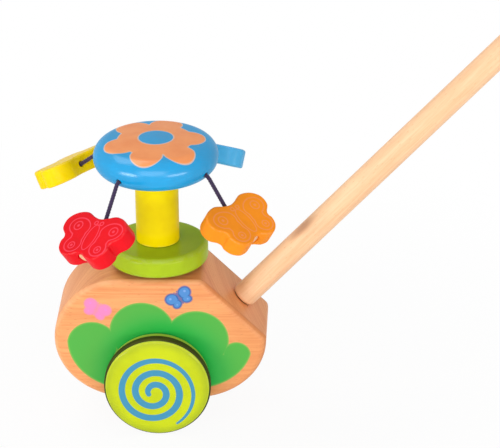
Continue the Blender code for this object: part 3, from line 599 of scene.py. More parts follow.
# A soft darker brown patch on the rod's upper front side, about 59 mm up from its foot
dark_patch_place = along_rod.to_3x3().inverted() @ Vector((-5.0, -3.4, 4.8)) + Vector((0, 0, 59))
from_dark_patch = points.vector("SUBTRACT", tuple(dark_patch_place)).vector("DIVIDE", (4.4, 4.4, 13))
dark_patch = 1 - from_dark_patch.length().rise(0.2, 1.1)
finish_with(shader, (dark_patch * 0.6).tint(colour, ink(172, 116, 88)), roughness, height)

rod_radius, rod_length, rod_chamfer, foot_rounding = 0.0075, 0.520, 0.0008, 0.0026
stud_rod_reach = 0.022
rod_head = seat_gap + rod_length
rod_mesh = turned("beech_rod", [
    (0, stud_rod_reach + seat_gap), (stud_bore, stud_rod_reach + seat_gap), (stud_bore, seat_gap)]
    + arc((rod_radius - foot_rounding, seat_gap + foot_rounding), (foot_rounding, foot_rounding),
          -90, 0, 10)
    + arc((rod_radius - rod_chamfer, rod_head - rod_chamfer), (rod_chamfer, rod_chamfer), 0, 90, 5)
    + [(0, rod_head)], 96)
fitted("beech_rod", rod_mesh, dowel, "body", along_rod, ["push_rod"])


def enamel(name, colour, edges=None, marks=None, coat=0.05, coat_roughness=0.14):
    """Gloss paint on turned or sawn wood: a little uneven in colour, with soft ripples, the
    grain just showing through, and the film thinner over the edges. edges(points) gives a
    mask of the edges, and marks(points, colour) prints on the paint."""
    made, shader, points = shaded(name, {
        "Specular IOR Level": 0.04, "Coat IOR": 3.0, "Coat Roughness": coat_roughness})
    cloud = points.noise(0.05, 3.0, 0.6)
    ripple = points.noise(0.45)
    grain = points.noise((1.6, 1.6, 0.12), 2.0, 0.6)
    deep = toned(colour, 0.93)
    paint = cloud.rise(0.3, 0.7).tint(deep, toned(colour, 1.05))
    paint = (grain.rise(0.55, 0.8) * 0.18).tint(paint, deep)
    wear = 0.0
    if edges:
        wear = edges(points) * points.noise(0.22, 3.0, 0.65).rise(0.36, 0.66)
        paint = (wear * 0.22).tint(paint, toned(colour, 0.75, 0.22))
    height = ripple * 0.016 + grain * 0.005
    if marks:
        paint, film = marks(points, paint)
        height = height + film * 0.010
    roughness = 0.26 + cloud * 0.12 + grain * 0.05 + wear * 0.12
    finish_with(shader, paint, roughness, height, coat * (1 - (cloud + wear) * 0.3))
    return made


knob_radius, knob_socket_depth = 0.019, 0.022
knob_socket, socket_floor = rod_radius + seat_gap, rod_head + seat_gap
knob_seat = math.sqrt(knob_radius ** 2 - knob_socket ** 2)
knob_turn = math.degrees(math.atan2(-knob_seat, knob_socket))
knob_centre = socket_floor - knob_socket_depth + knob_seat
knob_mesh = turned("lime_ball", [(0, socket_floor), (knob_socket, socket_floor)]
                   + arc((0, knob_centre), (knob_radius, knob_radius), knob_turn, 90, 40)[:-1]
                   + [(0, knob_centre + knob_radius)], 96)
fitted("lime_ball", knob_mesh, enamel("lime_enamel_ball", ink(190, 208, 40)), "body",
       along_rod, ["rod_knob"])

brass = metal("turned_brass", (0.80, 0.58, 0.24, 1.0), 0.24)
fixing_pitch, insert_thread, stud_thread = 0.0011, 0.0006, 0.0004
insert_plain, stud_plain = 0.0009, 0.0014
insert_foot = -insert_length - seat_gap
insert_mesh = turned("threaded_insert", [
    (stud_bore, insert_foot), (insert_radius - insert_thread, insert_foot)]
    + thread(insert_radius, insert_thread, insert_plain - insert_length, fixing_pitch, 11)
    + [(insert_radius, -seat_gap), (stud_bore, -seat_gap)], 48, True)
fitted("threaded_insert", insert_mesh, brass, "body", along_rod, ["rod_insert"])
stud_end = stud_radius - rod_chamfer
stud_mesh = turned("threaded_stud", [
    (0, -stud_body_reach), (stud_end, -stud_body_reach)]
    + thread(stud_radius, stud_thread, stud_plain - stud_body_reach, fixing_pitch, 36)
    + [(stud_end, stud_rod_reach), (0, stud_rod_reach)], 40)
fitted("threaded_stud", stud_mesh, steel, "body", along_rod, ["rod_stud"])


# Wheels, tyres and washers
# Two turned wooden wheels painted lime, with a blue spiral printed on each outer face, pressed
# on an 8 mm beech axle. A dark rubber ring sits in a groove of each tread for grip.
def spiral_mark(points, paint):
    """A line that winds outward about a point beside the hub, and thins to a point. Painted shade
    darkens the outer face towards its rim, and the tread behind the rubber ring is paler olive.
    """
    centre, start_bearing, start_reach = (-1.86, -2.81), -159.3, 2.78
    spacing, mean_spacing, widening, drawn_turns = 7.62, 7.9, 0.12, 2.72
    thin_half, thick_half, thickening = 0.45, 1.05, 0.55
    blob_reach, blob_radius = 3.4, 1.5
    plane = points.flat(0, 1)
    moved = plane.about(centre)
    x, y, _ = moved.parts()
    reach = moved.length()
    phase = (start_bearing / 360 - y.maths("ARCTAN2", x) / math.tau).maths("FRACT")
    whole = ((reach - start_reach) / mean_spacing - phase).maths("ROUND").larger(0).smaller(2)
    turns = phase + whole
    line = start_reach + turns * spacing + turns * turns * widening
    line = line.larger(blob_reach + turns * 4)
    taper = ((drawn_turns + 0.01 - turns) / 0.8).larger(0).smaller(1).maths("SQRT")
    half_width = thin_half + taper * (thick_half + (turns * 2).smaller(thickening))
    band = abs(reach - line) - half_width
    band = band.larger((turns - drawn_turns) * 60)
    start = math.radians(start_bearing)
    blob = (blob_reach * math.cos(start) + centre[0], blob_reach * math.sin(start) + centre[1])
    band = band.smaller(plane.spot(blob, blob_radius))
    outer_face = points.parts()[2].rise(11, 11.3)
    mask = band.within(0.2) * outer_face
    # Painted shade: the outer face darkens towards its rounded rim
    rim_shade = points.from_axis().rise(24.5, 30.0) * outer_face
    paint = (rim_shade * 0.42).tint(paint, ink(140, 160, 42))
    tread = points.from_axis().rise(30.2, 30.5) * (1 - outer_face)
    paint = (tread * 0.6).tint(paint, ink(150, 192, 86))
    return mask.tint(paint, ink(68, 144, 180)), mask


def wheel_edges(points):
    up = points.parts()[2]
    return points.from_axis().rise(29.0, 30.2) * (1 - up.rise(2.0, 2.4) + up.rise(10.2, 10.6) * 0.5)


def facing(side):
    """Turns +Z to the near side (-Y) for -1, or to the far side for 1."""
    return rotation(-90 * side, "X")


def rounded_side(radius, low, high, edge, steps):
    """Profile of a turned piece's side, with its lower and its upper edge rounded."""
    return (arc((radius - edge, low + edge), (edge, edge), -90, 0, steps)
            + arc((radius - edge, high - edge), (edge, edge), 0, 90, steps))


wheel_paint = enamel("lime_enamel_wheel", ink(195, 207, 24), wheel_edges, spiral_mark)
rubber, shader, points = shaded("rubber", {"Specular IOR Level": 0.25})
scuff = points.noise(0.35, 4.0, 0.65)
dust = points.noise((0.06, 0.06, 0.3), 2.0).rise(0.45, 0.75)
finish_with(shader, (dust * 0.5 + scuff * 0.3).tint(ink(46, 48, 2), ink(84, 92, 14)),
            0.56 + scuff * 0.25, scuff * 0.03)
nylon, shader, points = shaded("nylon")
cloud = points.noise(0.25, 3.0)
finish_with(shader, cloud.tint(ink(232, 232, 226), ink(246, 246, 242)), 0.36 + cloud * 0.2,
            points.noise(1.5, 3.0) * 0.01)

wheel_radius, wheel_thickness, wheel_edge, wheel_bore_depth = 0.0306, 0.012, 0.0014, 0.009
face_rounding, wheel_bore = 0.005, axle_radius + seat_gap
groove_depth, tyre_width, tyre_inset = 0.0012, 0.005, 0.002
tyre_stand_out, tyre_edge = 0.0009, 0.0008
inner_flat, outer_flat = 0.6, 0.5      # where a flat face's middle ring of points lies
groove_top = wheel_thickness - tyre_inset + seat_gap
groove_foot = groove_top - tyre_width - seat_gap * 2
groove = wheel_radius - groove_depth
wheel_rim = wheel_radius - wheel_edge
wheel_profile = ([(0, wheel_bore_depth), (wheel_bore, wheel_bore_depth), (wheel_bore, 0),
                  (wheel_rim * inner_flat, 0)]
                 + arc((wheel_rim, wheel_edge), (wheel_edge, wheel_edge), -90, 0, 7)
                 + [(wheel_radius, groove_foot), (groove, groove_foot), (groove, groove_top)]
                 + arc((wheel_radius - face_rounding, groove_top),
                       (face_rounding, wheel_thickness - groove_top), 0, 90, 16)
                 + [(wheel_rim * outer_flat, wheel_thickness), (0, wheel_thickness)])
tyre_out, tyre_seat = wheel_radius + tyre_stand_out, groove + seat_gap
tyre_foot = groove_foot + seat_gap
tyre_top = tyre_foot + tyre_width
tyre_profile = ([(tyre_seat, tyre_foot)]
                + rounded_side(tyre_out, tyre_foot, tyre_top, tyre_edge, 5)
                + [(tyre_seat, tyre_top)])
washer_radius, washer_thickness, washer_edge, running_gap = 0.009, 0.0012, 0.0002, 0.0004
washer_bore = axle_radius + turning_gap
washer_profile = ([(washer_bore, 0)]
                  + rounded_side(washer_radius, 0, washer_thickness, washer_edge, 3)
                  + [(washer_bore, washer_thickness)])
wheel_inner_face = block_width / 2 + washer_thickness + running_gap * 2
for side, word in ((-1, "front"), (1, "back")):
    seat = Matrix.Translation((0, side * wheel_inner_face, axle_height)) @ facing(side)
    fitted(f"spiral_wheel_{word}", turned("spiral_wheel", wheel_profile, 144), wheel_paint,
           "axle_group", seat, [f"wheel_{word}"])
    fitted(f"rubber_ring_{word}", turned("rubber_ring", tyre_profile, 144, True), rubber,
           "axle_group", seat, [f"tyre_{word}"])
    inner = Matrix.Translation((0, side * (block_width / 2 + running_gap), axle_height))
    fitted(f"slip_washer_{word}", turned("slip_washer", washer_profile, 64, True), nylon,
           "axle_group", inner @ facing(side), [f"wheel_washer_{word}"])


# Axle and friction roller
# The axle is a beech dowel with chamfered ends. The roller on it carries a rubber ring that
# rubs on the drive disc above, beside the carousel's centre, and so turns the carousel.
axle_end = wheel_inner_face + wheel_bore_depth - seat_gap
axle_mesh = turned("beech_axle", [
    (0, -axle_end), (axle_radius - rod_chamfer, -axle_end), (axle_radius, rod_chamfer - axle_end),
    (axle_radius, axle_end - rod_chamfer), (axle_radius - rod_chamfer, axle_end), (0, axle_end)],
    48)
fitted("beech_axle", axle_mesh, dowel, "axle_group",
       Matrix.Translation((0, 0, axle_height)) @ facing(-1), ["axle"])

turned_beech, shader, points = shaded("turned_beech")
colour, roughness, height = wood(points, 2, ink(240, 186, 128), ink(220, 156, 100),
                                 ink(188, 122, 76))
turning_marks = points.noise((0.1, 0.1, 4.0), 2.0)
finish_with(shader, colour, roughness + 0.08, height + turning_marks * 0.02)

roller_radius, roller_width, roller_offset, roller_chamfer = 0.010, 0.005, 0.008, 0.0003
ring_depth, ring_width, ring_edge = 0.0016, 0.003, 0.0005
roller_groove, roller_core = roller_radius - ring_depth, roller_radius - seat_gap * 2
roller_half, ring_half = roller_width / 2, ring_width / 2
slot_half, roller_bore = ring_half + seat_gap, axle_radius + seat_gap
roller_seat = Matrix.Translation((0, -roller_offset, axle_height)) @ facing(-1)
roller_mesh = turned("beech_roller", [
    (roller_bore, -roller_half), (roller_core - roller_chamfer, -roller_half),
    (roller_core, roller_chamfer - roller_half), (roller_core, -slot_half),
    (roller_groove, -slot_half), (roller_groove, slot_half), (roller_core, slot_half),
    (roller_core, roller_half - roller_chamfer), (roller_core - roller_chamfer, roller_half),
    (roller_bore, roller_half)], 72, True)
fitted("beech_roller", roller_mesh, turned_beech, "axle_group", roller_seat,
       ["friction_roller"])
ring_mesh = turned("drive_ring", [(roller_groove + seat_gap, -ring_half)]
                   + rounded_side(roller_radius, -ring_half, ring_half, ring_edge, 4)
                   + [(roller_groove + seat_gap, ring_half)], 72, True)
fitted("drive_ring", ring_mesh, rubber, "axle_group", roller_seat,
       ["friction_ring"])


# Bushes
# Two flanged nylon bushes pressed into the top and the bottom of the spindle's bore. The upper
# flange just shows between the block and the turntable.
spindle_radius, bush_length, bush_flange_radius, bush_flange = 0.005, 0.010, 0.0085, 0.0012
bush_chamfer, flange_edge = 0.0004, 0.0002
bush_hole, flange_top = spindle_radius + turning_gap, seat_gap + bush_flange
bush_profile = [
    (bush_hole, -bush_length), (bush_radius - bush_chamfer, -bush_length),
    (bush_radius, bush_chamfer - bush_length), (bush_radius, seat_gap),
    (bush_flange_radius - flange_edge, seat_gap), (bush_flange_radius, seat_gap + flange_edge),
    (bush_flange_radius, flange_top - flange_edge), (bush_flange_radius - flange_edge, flange_top),
    (bush_hole, flange_top)]
half_turn = rotation(180, "X")
for word, place in (("top", Matrix.Translation((0, 0, block_height))),
                    ("bottom", Matrix.Translation((0, 0, pocket_height)) @ half_turn)):
    fitted(f"flanged_bush_{word}", turned("flanged_bush", bush_profile, 64, True), nylon,
           "body", place, [f"spindle_bush_{word}"])


# Spindle and drive disc
# The spindle is a 10 mm beech dowel that carries the carousel. A beech disc is screwed on its
# lower end, inside the pocket, where the friction roller drives it.
drive_radius, drive_thickness, drive_socket_depth, drive_edge = 0.0135, 0.008, 0.0035, 0.0008
drive_low = axle_height + roller_radius + seat_gap
drive_high = drive_low + drive_thickness
drive_floor = drive_high - drive_socket_depth
spindle_foot = drive_floor + seat_gap
turntable_lift, turntable_thickness, post_length, disc_socket = 0.0033, 0.0125, 0.0431, 0.012
turntable_low = block_height + turntable_lift
turntable_high = turntable_low + turntable_thickness
post_low = turntable_high + seat_gap
post_high = post_low + post_length
disc_low = post_high + seat_gap
spindle_head = disc_low + disc_socket - seat_gap
foot_chamfer, head_chamfer = 0.0003, 0.0005
small_screw_head, small_screw_height, small_head_edge = 0.003, 0.0016, 0.0004
small_screw_radius, small_screw_length = 0.0013, 0.014
small_screw_shank, small_screw_pitch = 0.002, 0.0008
screw_bore, head_bore = small_screw_radius + seat_gap, small_screw_head + seat_gap
socket_radius = spindle_radius + seat_gap
pilot_roof = spindle_foot + small_screw_length
spindle_mesh = turned("beech_spindle", [
    (0, pilot_roof), (screw_bore, pilot_roof), (screw_bore, spindle_foot),
    (spindle_radius - foot_chamfer, spindle_foot), (spindle_radius, spindle_foot + foot_chamfer),
    (spindle_radius, spindle_head - head_chamfer), (spindle_radius - head_chamfer, spindle_head),
    (0, spindle_head)], 64)
fitted("beech_spindle", spindle_mesh, dowel, "carousel", stands_for=["spindle"])
head_seat = drive_low + small_screw_height + seat_gap * 2
drive_mesh = turned("beech_drive_disc", [
    (screw_bore, head_seat), (head_bore, head_seat), (head_bore, drive_low)]
    + rounded_side(drive_radius, drive_low, drive_high, drive_edge, 6)
    + [(socket_radius, drive_high), (socket_radius, drive_floor), (screw_bore, drive_floor)],
    72, True)
fitted("beech_drive_disc", drive_mesh, turned_beech, "carousel",
       stands_for=["drive_disc"])
screw_low = drive_low + seat_gap
screw_shoulder = screw_low + small_screw_height
small_screw = turned("drive_screw", [
    (0, screw_low), (small_screw_head - small_head_edge, screw_low),
    (small_screw_head, screw_low + small_head_edge), (small_screw_head, screw_shoulder),
    (small_screw_radius, screw_shoulder)]
    + thread(small_screw_radius, screw_thread, screw_shoulder + small_screw_shank,
             small_screw_pitch, 14)
    + [(0, screw_shoulder + small_screw_length + small_screw_radius)], 32)
fitted("drive_screw", cross_cut(small_screw, screw_low, 20), steel, "carousel",
       stands_for=["drive_disc_screw"])


# Turntable
# A thick turned wooden disc, well rounded at both edges and painted lime, glued on the spindle
# just clear of the block's flat top.
def turntable_edges(points):
    return points.from_axis().band(27.0, 28.6, 28.9, 29.4)


turntable_radius, turntable_edge = 0.0295, 0.0035
table_flat = (turntable_radius - turntable_edge) * 0.7
table_mesh = turned("lime_turntable", [
    (socket_radius, turntable_low), (table_flat, turntable_low)]
    + rounded_side(turntable_radius, turntable_low, turntable_high, turntable_edge, 12)
    + [(table_flat, turntable_high), (socket_radius, turntable_high)], 128, True)
fitted("lime_turntable", table_mesh,
       enamel("lime_enamel_turntable", ink(166, 194, 28), turntable_edges),
       "carousel", stands_for=["turntable"])


# Post
# A length of thick dowel painted yellow, bored for the spindle and glued between the turntable
# and the top disc.
def post_edges(points):
    up, low, high = points.parts()[2], post_low * 1000, post_high * 1000
    return 1 - up.rise(low + 0.9, low + 1.5) + up.rise(high - 1.5, high - 0.9)


post_radius, post_edge = 0.0127, 0.0006
post_mesh = turned("yellow_post", [(socket_radius, post_low)]
                   + rounded_side(post_radius, post_low, post_high, post_edge, 5)
                   + [(socket_radius, post_high)], 96, True)
fitted("yellow_post", post_mesh,
       enamel("yellow_enamel", ink(255, 225, 0), post_edges, coat=0.025),
       "carousel", stands_for=["post"])


# Top disc
# A turned disc with a fat half-round rim and a slightly domed top, painted blue, with an orange
# flower printed on it. Four small holes in the rim's side take the butterflies' cords.
hangers = {
    "red": dict(place=237, swing=38, drift=4, lean=57, turn=-10, tip=0),
    "orange": dict(place=327, swing=20, drift=17, lean=58, turn=-4, tip=-5),
    "blue": dict(place=57, swing=52, drift=17, lean=63, turn=3, tip=6),
    "yellow": dict(place=147, swing=52, drift=-2, lean=62, turn=-1, tip=-6),
}
cord_radius, cord_length, cord_clearance = 0.00125, 0.0243, 0.0004
cord_hole_slope, cord_hole_mouth, cord_hole_depth = math.radians(22), 0.0021, 0.012
cord_hole = cord_radius + cord_clearance
disc_radius, disc_rim, disc_rise = 0.0365, 0.0100, 0.0016
rim_reach, rim_height = disc_radius - disc_rim, disc_low + disc_rim


def hanger_axes(hanger):
    """Outward and round the disc, at a cord's place on it."""
    turn = math.radians(hanger["place"])
    return (Vector((math.cos(turn), math.sin(turn), 0)),
            Vector((-math.sin(turn), math.cos(turn), 0)))


def cord_mouth(hanger):
    """Frame at the mouth of a cord's hole in the rim, with +Z out of the hole."""
    radial, around = hanger_axes(hanger)
    outward = radial * math.cos(cord_hole_slope) - Vector((0, 0, math.sin(cord_hole_slope)))
    point = radial * rim_reach + outward * disc_rim + Vector((0, 0, rim_height))
    return standing(point, around, outward.cross(around), outward)


def flower_mark(points, paint):
    """A flower of six round petals about a bare middle, with a pale line along its edges."""
    plane = points.flat(0, 1)
    flower = plane.spot((0, -1), 22)
    for centre, radius in (((-3.7, -24), 9.3), ((15, -20), 9.0), ((19.5, 1), 9.5), ((5, 21), 9.5),
                           ((-14, 16), 10.0), ((-19, -10), 10.0)):
        flower = flower.melted(plane.spot(centre, radius), 1.5)
    upper = points.parts()[2].rise(rim_height * 1000 + 1, rim_height * 1000 + 2)
    middle = plane.spot((0.3, 0), 10.2)
    petals = flower.within(0.2) * (1 - middle.within(0.2)) * upper
    edge = (abs(flower) - 0.32).within(0.18).larger((abs(middle - 0.2) - 0.4).within(0.18)) * upper
    petal_tone = points.noise(0.09, 3.0).rise(0.3, 0.7)
    paint = petals.tint(paint, petal_tone.tint(ink(246, 147, 80), ink(252, 158, 90)))
    return (edge * 0.75).tint(paint, ink(226, 196, 176)), petals


dome_radius = (rim_reach ** 2 + disc_rise ** 2) / (2 * disc_rise)
dome_turn = math.degrees(math.asin(rim_reach / dome_radius))
crown = disc_low + disc_rim * 2 + disc_rise
disc_roof = disc_low + disc_socket
disc_mesh = turned("flower_disc", [
    (0, disc_roof), (socket_radius, disc_roof), (socket_radius, disc_low),
    (rim_reach * 0.7, disc_low)]
    + arc((rim_reach, rim_height), (disc_rim, disc_rim), -90, 90, 36)
    + arc((0, crown - dome_radius), (dome_radius, dome_radius), 90 - dome_turn, 90, 8)[1:-1]
    + [(0, crown)], 160)
lead_in = [(0, -past_face), (cord_hole_mouth, -past_face), (cord_hole_mouth, 0),
           (cord_hole, cord_hole_mouth - cord_hole)]
hole_tool = turned("cord_hole_tool", lead_in + [(cord_hole, cord_hole_depth),
                                                (0, cord_hole_depth)], 32)
disc_mesh = without(disc_mesh, [(hole_tool, cord_mouth(hanger) @ half_turn)
                                for hanger in hangers.values()])
disc_paint = enamel("blue_enamel", ink(0, 156, 216), None, flower_mark, 0.21, 0.21)
fitted("flower_disc", disc_mesh, disc_paint, "carousel", stands_for=["top_disc"])


# Cords
# Four short lengths of purple three-strand cotton cord. One end of each is glued in its hole in
# the disc, and the other is knotted inside the butterfly, behind a wooden plug.
fibre, shader, points = shaded("cotton_cord", {"Sheen Weight": 0.25})
fuzz = points.noise(2.2, 3.0, 0.7)
faded = points.noise(0.25).rise(0.35, 0.7)
colour = (fuzz * 0.7 + faded * 0.3).tint(ink(28, 14, 50), ink(60, 40, 82))
finish_with(shader, colour, 0.74 + fuzz * 0.2, fuzz * 0.05)


def cord_frame(hanger):
    """Frame at the cord's upper pivot, just out of its hole, with +Z down the cord."""
    swing, drift = math.radians(hanger["swing"]), math.radians(hanger["drift"])
    radial, around = hanger_axes(hanger)
    hanging = radial * math.sin(swing) - Vector((0, 0, math.cos(swing)))
    down = hanging * math.cos(drift) + around * math.sin(drift)
    side = around * math.cos(drift) - hanging * math.sin(drift)
    pivot = cord_mouth(hanger) @ Vector((0, 0, cord_radius + seat_gap))
    return standing(pivot, side, down.cross(side), down)


def butterfly_frame(hanger):
    """Frame at the butterfly's notch: X along the wings, Y up the body, Z out of its face."""
    lean = math.radians(hanger["lean"])
    radial, up = hanger_axes(hanger)[0], Vector((0, 0, 1))
    body = up * math.cos(lean) - radial * math.sin(lean)
    face = radial * math.cos(lean) + up * math.sin(lean)
    foot = cord_frame(hanger) @ Vector((0, 0, cord_length))
    return (standing(foot, body.cross(face), body, face)
            @ rotation(hanger["turn"], "Y") @ rotation(hanger["tip"], "Z"))


def twisted(name, path, widths, pitch=0.0052, groove_share=0.20, sides=24):
    """A three-strand cord along a path, with a width for each point, closed at both ends."""
    builder = bmesh.new()
    heading = (path[1] - path[0]).normalized()
    across_cord = heading.orthogonal().normalized()
    rows, run = [], 0.0
    for here, (point, width) in enumerate(zip(path, widths)):
        ahead = (path[min(here + 1, len(path) - 1)] - path[max(here - 1, 0)]).normalized()
        across_cord = (across_cord - ahead * across_cord.dot(ahead)).normalized()
        other = ahead.cross(across_cord)
        run += (point - path[here - 1]).length if here else 0.0
        lay = math.tau * run / pitch
        row = []
        for step in range(sides):
            turn = math.tau * step / sides
            strand = abs(math.cos(1.5 * (turn - lay)))
            spoke = width * (1 - groove_share + groove_share * strand ** 0.7)
            row.append(builder.verts.new(point + (across_cord * math.cos(turn)
                                                  + other * math.sin(turn)) * spoke))
        rows.append(row)
    skinned(builder, rows)
    return smoothed(finished(name, builder), 70)


cord_bend, cord_root, cord_step = 0.005, 0.009, 0.0003
knot_radius, knot_reach = 0.0024, 0.0155
turns_from, turns_to = 0.001, 0.003      # inside the hole, and past the cord's pivot


def stepped(first, last):
    """Points on a straight run of cord, from first to just before last."""
    count = max(2, round((last - first).length / cord_step))
    return [first.lerp(last, step / count) for step in range(count)]


for name, hanger in hangers.items():
    mouth, upper = cord_mouth(hanger), cord_frame(hanger)
    outward, down = mouth.to_3x3().col[2].normalized(), upper.to_3x3().col[2].normalized()
    pivot, foot = upper.translation.copy(), upper @ Vector((0, 0, cord_length))
    angle = outward.angle(down)
    tangent = cord_bend * math.tan(angle / 2)
    bend_start, bend_end = pivot - outward * tangent, pivot + down * tangent
    toward = (down - outward * down.dot(outward)).normalized()
    centre = bend_start + toward * cord_bend
    bend_steps = max(4, round(cord_bend * angle / cord_step))
    bend_turns = [angle * step / bend_steps for step in range(bend_steps)]
    path = (stepped(mouth.translation - outward * cord_root, bend_start)
            + [centre - toward * cord_bend * math.cos(turn) + outward * cord_bend * math.sin(turn)
               for turn in bend_turns]
            + stepped(bend_end, foot))
    widths = [cord_radius] * len(path)
    for turn in range(0, 81, 16):
        path.append(foot + down * cord_radius * math.sin(math.radians(turn)))
        widths.append(cord_radius * math.cos(math.radians(turn)))
    cord = added(f"cotton_cord_{name}", twisted(f"cotton_cord_{name}", path, widths))
    cord.data.materials.append(fibre)
    mouth.translation - outward * turns_from
    pivot + down * turns_to
    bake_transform(cord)
    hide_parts(f"cord_{name}", f"cord_root_{name}")

    tail_path, tail_widths = [], []
    reach = -cord_radius * 0.98
    while reach < knot_reach + knot_radius * 0.99:
        from_knot = abs(reach - knot_reach)
        lump = math.sqrt(max(knot_radius ** 2 - from_knot ** 2, 0))
        neck = cord_radius if reach > 0 else math.sqrt(max(cord_radius ** 2 - reach ** 2, 0))
        tail_path.append(Vector((0, -reach, 0)))
        tail_widths.append(max(lump, neck) if reach < knot_reach else lump)
        reach += cord_step
    tail = fitted(f"cord_tail_{name}", twisted(f"cord_tail_{name}", tail_path, tail_widths), fibre,
                  f"{name}_butterfly", butterfly_frame(hanger), [f"cord_knot_{name}"])
    length = sum((after - before).length for before, after in zip(path, path[1:]))
    path[::4] + path[-1:]


# Butterflies and their plugs
# Sawn from 11 mm board, drilled down the body for the cord, rounded over at the edges and
# painted, with a fine line drawing on the outer face. A pale plug closes each bore from below.
half_wing_shares = (
    (0.00, 0.105), (0.20, 0.075), (0.48, 0.000), (0.79, 0.060), (0.985, 0.225),
    (0.97, 0.430), (0.80, 0.560), (0.755, 0.640), (0.78, 0.730), (0.71, 0.880),
    (0.52, 0.990), (0.28, 0.990), (0.11, 0.925), (0.00, 0.900))
wings_width, wings_height, wings_thickness, wings_edge = 0.0473, 0.0306, 0.0112, 0.0013
notch_depth = wings_height * half_wing_shares[0][1]
notch_to_foot = wings_height * (half_wing_shares[-1][1] - half_wing_shares[0][1])
right_wing = [Vector((x * wings_width / 2, notch_depth - y * wings_height))
              for x, y in half_wing_shares]


def mirrored(point):
    return Vector((-point.x, point.y))


padded_run = [mirrored(right_wing[1])] + right_wing + [mirrored(right_wing[-2])]
wing, span_steps = [], 10
for before, start, end, after in zip(padded_run, padded_run[1:], padded_run[2:], padded_run[3:]):
    for step in range(span_steps):
        t = step / span_steps
        wing.append((start * 2 + (end - before) * t
                     + (before * 2 - start * 5 + end * 4 - after) * t ** 2
                     + (start * 3 - before - end * 3 + after) * t ** 3) / 2)
wing.append(right_wing[-1])
wings_outline = list(reversed(wing + [mirrored(point) for point in reversed(wing[1:-1])]))
plug_radius, plug_length, plug_chamfer, knot_bore_depth = 0.003, 0.005, 0.0004, 0.0105
plug_bore, knot_floor = plug_radius + seat_gap, notch_to_foot - knot_bore_depth
bore_end, plug_low = notch_to_foot + past_face, notch_to_foot - plug_length
down_body = rotation(90, "X")
body_tool = turned("body_bore_tool", lead_in + [
    (cord_hole, knot_floor), (plug_bore, knot_floor), (plug_bore, bore_end), (0, bore_end)], 40)
plug_profile = ([(0, plug_low), (plug_radius - plug_chamfer, plug_low),
                 (plug_radius, plug_low + plug_chamfer)]
                + arc((plug_radius - plug_chamfer, notch_to_foot - plug_chamfer),
                      (plug_chamfer, plug_chamfer), 0, 90, 4) + [(0, notch_to_foot)])


def wing_drawing(line_colour, strength, shift):
    """A print of fine lines: a loop with rings in it on each wing, and an oval body between."""
    outer_face = wings_thickness * 500 - 0.4

    def mark(points, paint):
        x, y, up = points.parts()
        half = abs(x - shift).beside(y)
        loop = half.oval((12.3, -7.6), (7.7, 5.8), 10)
        loop = loop.melted(half.oval((9.8, -19.8), (5.7, 5.2), -12), 2.0)
        loop = loop.melted(half.oval((9.6, -13.6), (4.4, 5.6), -8), 2.0)
        lines = abs(loop) - 0.36
        for centre, radius in (((13.8, -7.2), 2.9), ((10.2, -20.6), 2.2)):
            lines = lines.smaller(abs(half.spot(centre, radius)) - 0.34)
            lines = lines.smaller(half.spot(centre, 0.9))
        lines = lines.smaller(abs(half.oval((0, -13.4), (3.5, 8.8))) - 0.32)
        lines = lines.smaller(abs(half.spot((2.1, -3.4), 1.2)) - 0.36)
        mask = lines.within(0.34) * up.rise(outer_face, outer_face + 0.2)
        return (mask * strength).tint(paint, line_colour), mask
    return mark


def wing_edges(points):
    return abs(points.parts()[2]).band(4.3, 5.0, 5.25, 5.55)


butterfly_looks = {
    "red": (ink(232, 16, 30), ink(250, 82, 106), 0.62, 1.9),
    "orange": (ink(252, 147, 28), ink(246, 150, 120), 0.4, 0.3),
    "blue": (ink(84, 184, 238), ink(190, 226, 246), 0.5, 0.3),
    "yellow": (ink(255, 216, 4), ink(250, 168, 30), 0.5, 0.3),
}
for name, hanger in hangers.items():
    seat = butterfly_frame(hanger)
    paint_colour, *print_looks = butterfly_looks[name]
    paint = enamel(f"{name}_butterfly_enamel", paint_colour, wing_edges,
                   wing_drawing(*print_looks), 0.032)
    wings_mesh = board(f"wings_{name}", wings_outline, wings_thickness, wings_edge, 6)
    wings_mesh = without(wings_mesh, [(body_tool, down_body)])
    fitted(f"wings_{name}", wings_mesh, paint, f"{name}_butterfly",
           seat, [f"butterfly_{name}"])
    fitted(f"bore_plug_{name}", turned("bore_plug", plug_profile, 40), dowel, f"{name}_butterfly",
           seat @ down_body, [f"plug_{name}"])


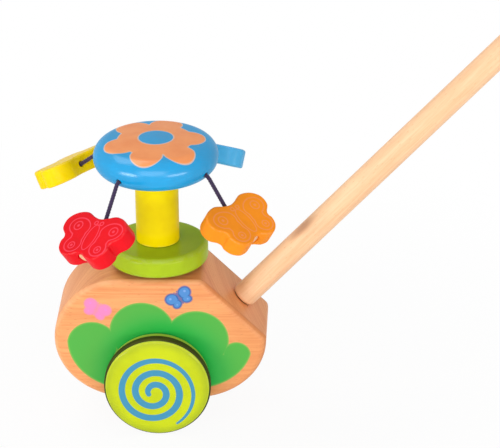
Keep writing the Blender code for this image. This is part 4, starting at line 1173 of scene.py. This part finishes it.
# Table, lamps and white surroundings
# The toy stands on a white sheet, all around it is white, and a large soft screen in front, above
# the camera, gives most of the light. A weaker one hangs above and behind it, and two low soft
# boxes stand on the left and the right.
def seen_white(tree):
    """1 for a ray from the camera, off a gloss or through glass, and 0 for any other."""
    rays = tree.nodes.new("ShaderNodeLightPath").outputs
    from_camera, off_gloss, through_glass = (
        Signal(rays[f"Is {kind} Ray"]) for kind in ("Camera", "Glossy", "Transmission"))
    return from_camera.larger(off_gloss).larger(through_glass)


sheet, shader, points = shaded("white_sheet")
weave = points.noise(0.02)
finish_with(shader, weave.tint((0.93, 0.93, 0.93, 1.0), (0.95, 0.95, 0.95, 1.0)),
            0.9 - weave * 0.05, weave * 0.01)
tree = sheet.node_tree
glow = tree.nodes.new("ShaderNodeEmission")
share = tree.nodes.new("ShaderNodeMixShader")
far_off = points.length().rise(120, 420)
tree.links.new((seen_white(tree) * (0.93 + far_off * 0.07)).socket, share.inputs[0])
tree.links.new(shader.outputs[0], share.inputs[1])
tree.links.new(glow.outputs[0], share.inputs[2])
tree.links.new(share.outputs[0], tree.nodes["Material Output"].inputs["Surface"])
floor_level, floor_reach = axle_height - tyre_out, 6
builder = bmesh.new()
builder.faces.new([builder.verts.new((x * floor_reach, y * floor_reach, floor_level))
                   for x, y in ((-1, -1), (1, -1), (1, 1), (-1, 1))])
floor = added("floor", finished("floor", builder))
floor.data.materials.append(sheet)

world = bpy.data.worlds.new("surroundings")
bpy.context.scene.world = world
world.use_nodes = True
background = world.node_tree.nodes["Background"]
background.inputs["Color"].default_value = (1.0, 1.0, 1.0, 1.0)
world.node_tree.links.new((0.45 + seen_white(world.node_tree) * 0.55).socket,
                          background.inputs["Strength"])

lit_point = Vector((0.02, 0, 0.08))
for name, place, size, power in (
        ("left_box", (-1.00, -0.98, 0.22), (0.72, 0.28), 5.8),
        ("right_box", (0.92, -1.08, 0.22), (0.85, 0.22), 4.4),
        ("front_screen", (-0.10, -2.00, 1.00), (1.8, 1.2), 15),
        ("top_screen", (-0.60, 0.30, 1.40), (1.0, 0.8), 6)):
    lamp = bpy.data.lights.new(name, "AREA")
    lamp.shape = "RECTANGLE"
    lamp.size, lamp.size_y = size
    lamp.energy = power
    facing_toy = (lit_point - Vector(place)).to_track_quat("-Z", "Y").to_matrix().to_4x4()
    added(name, lamp, Matrix.Translation(place) @ facing_toy)

bpy.context.scene.view_settings.view_transform = "Standard"
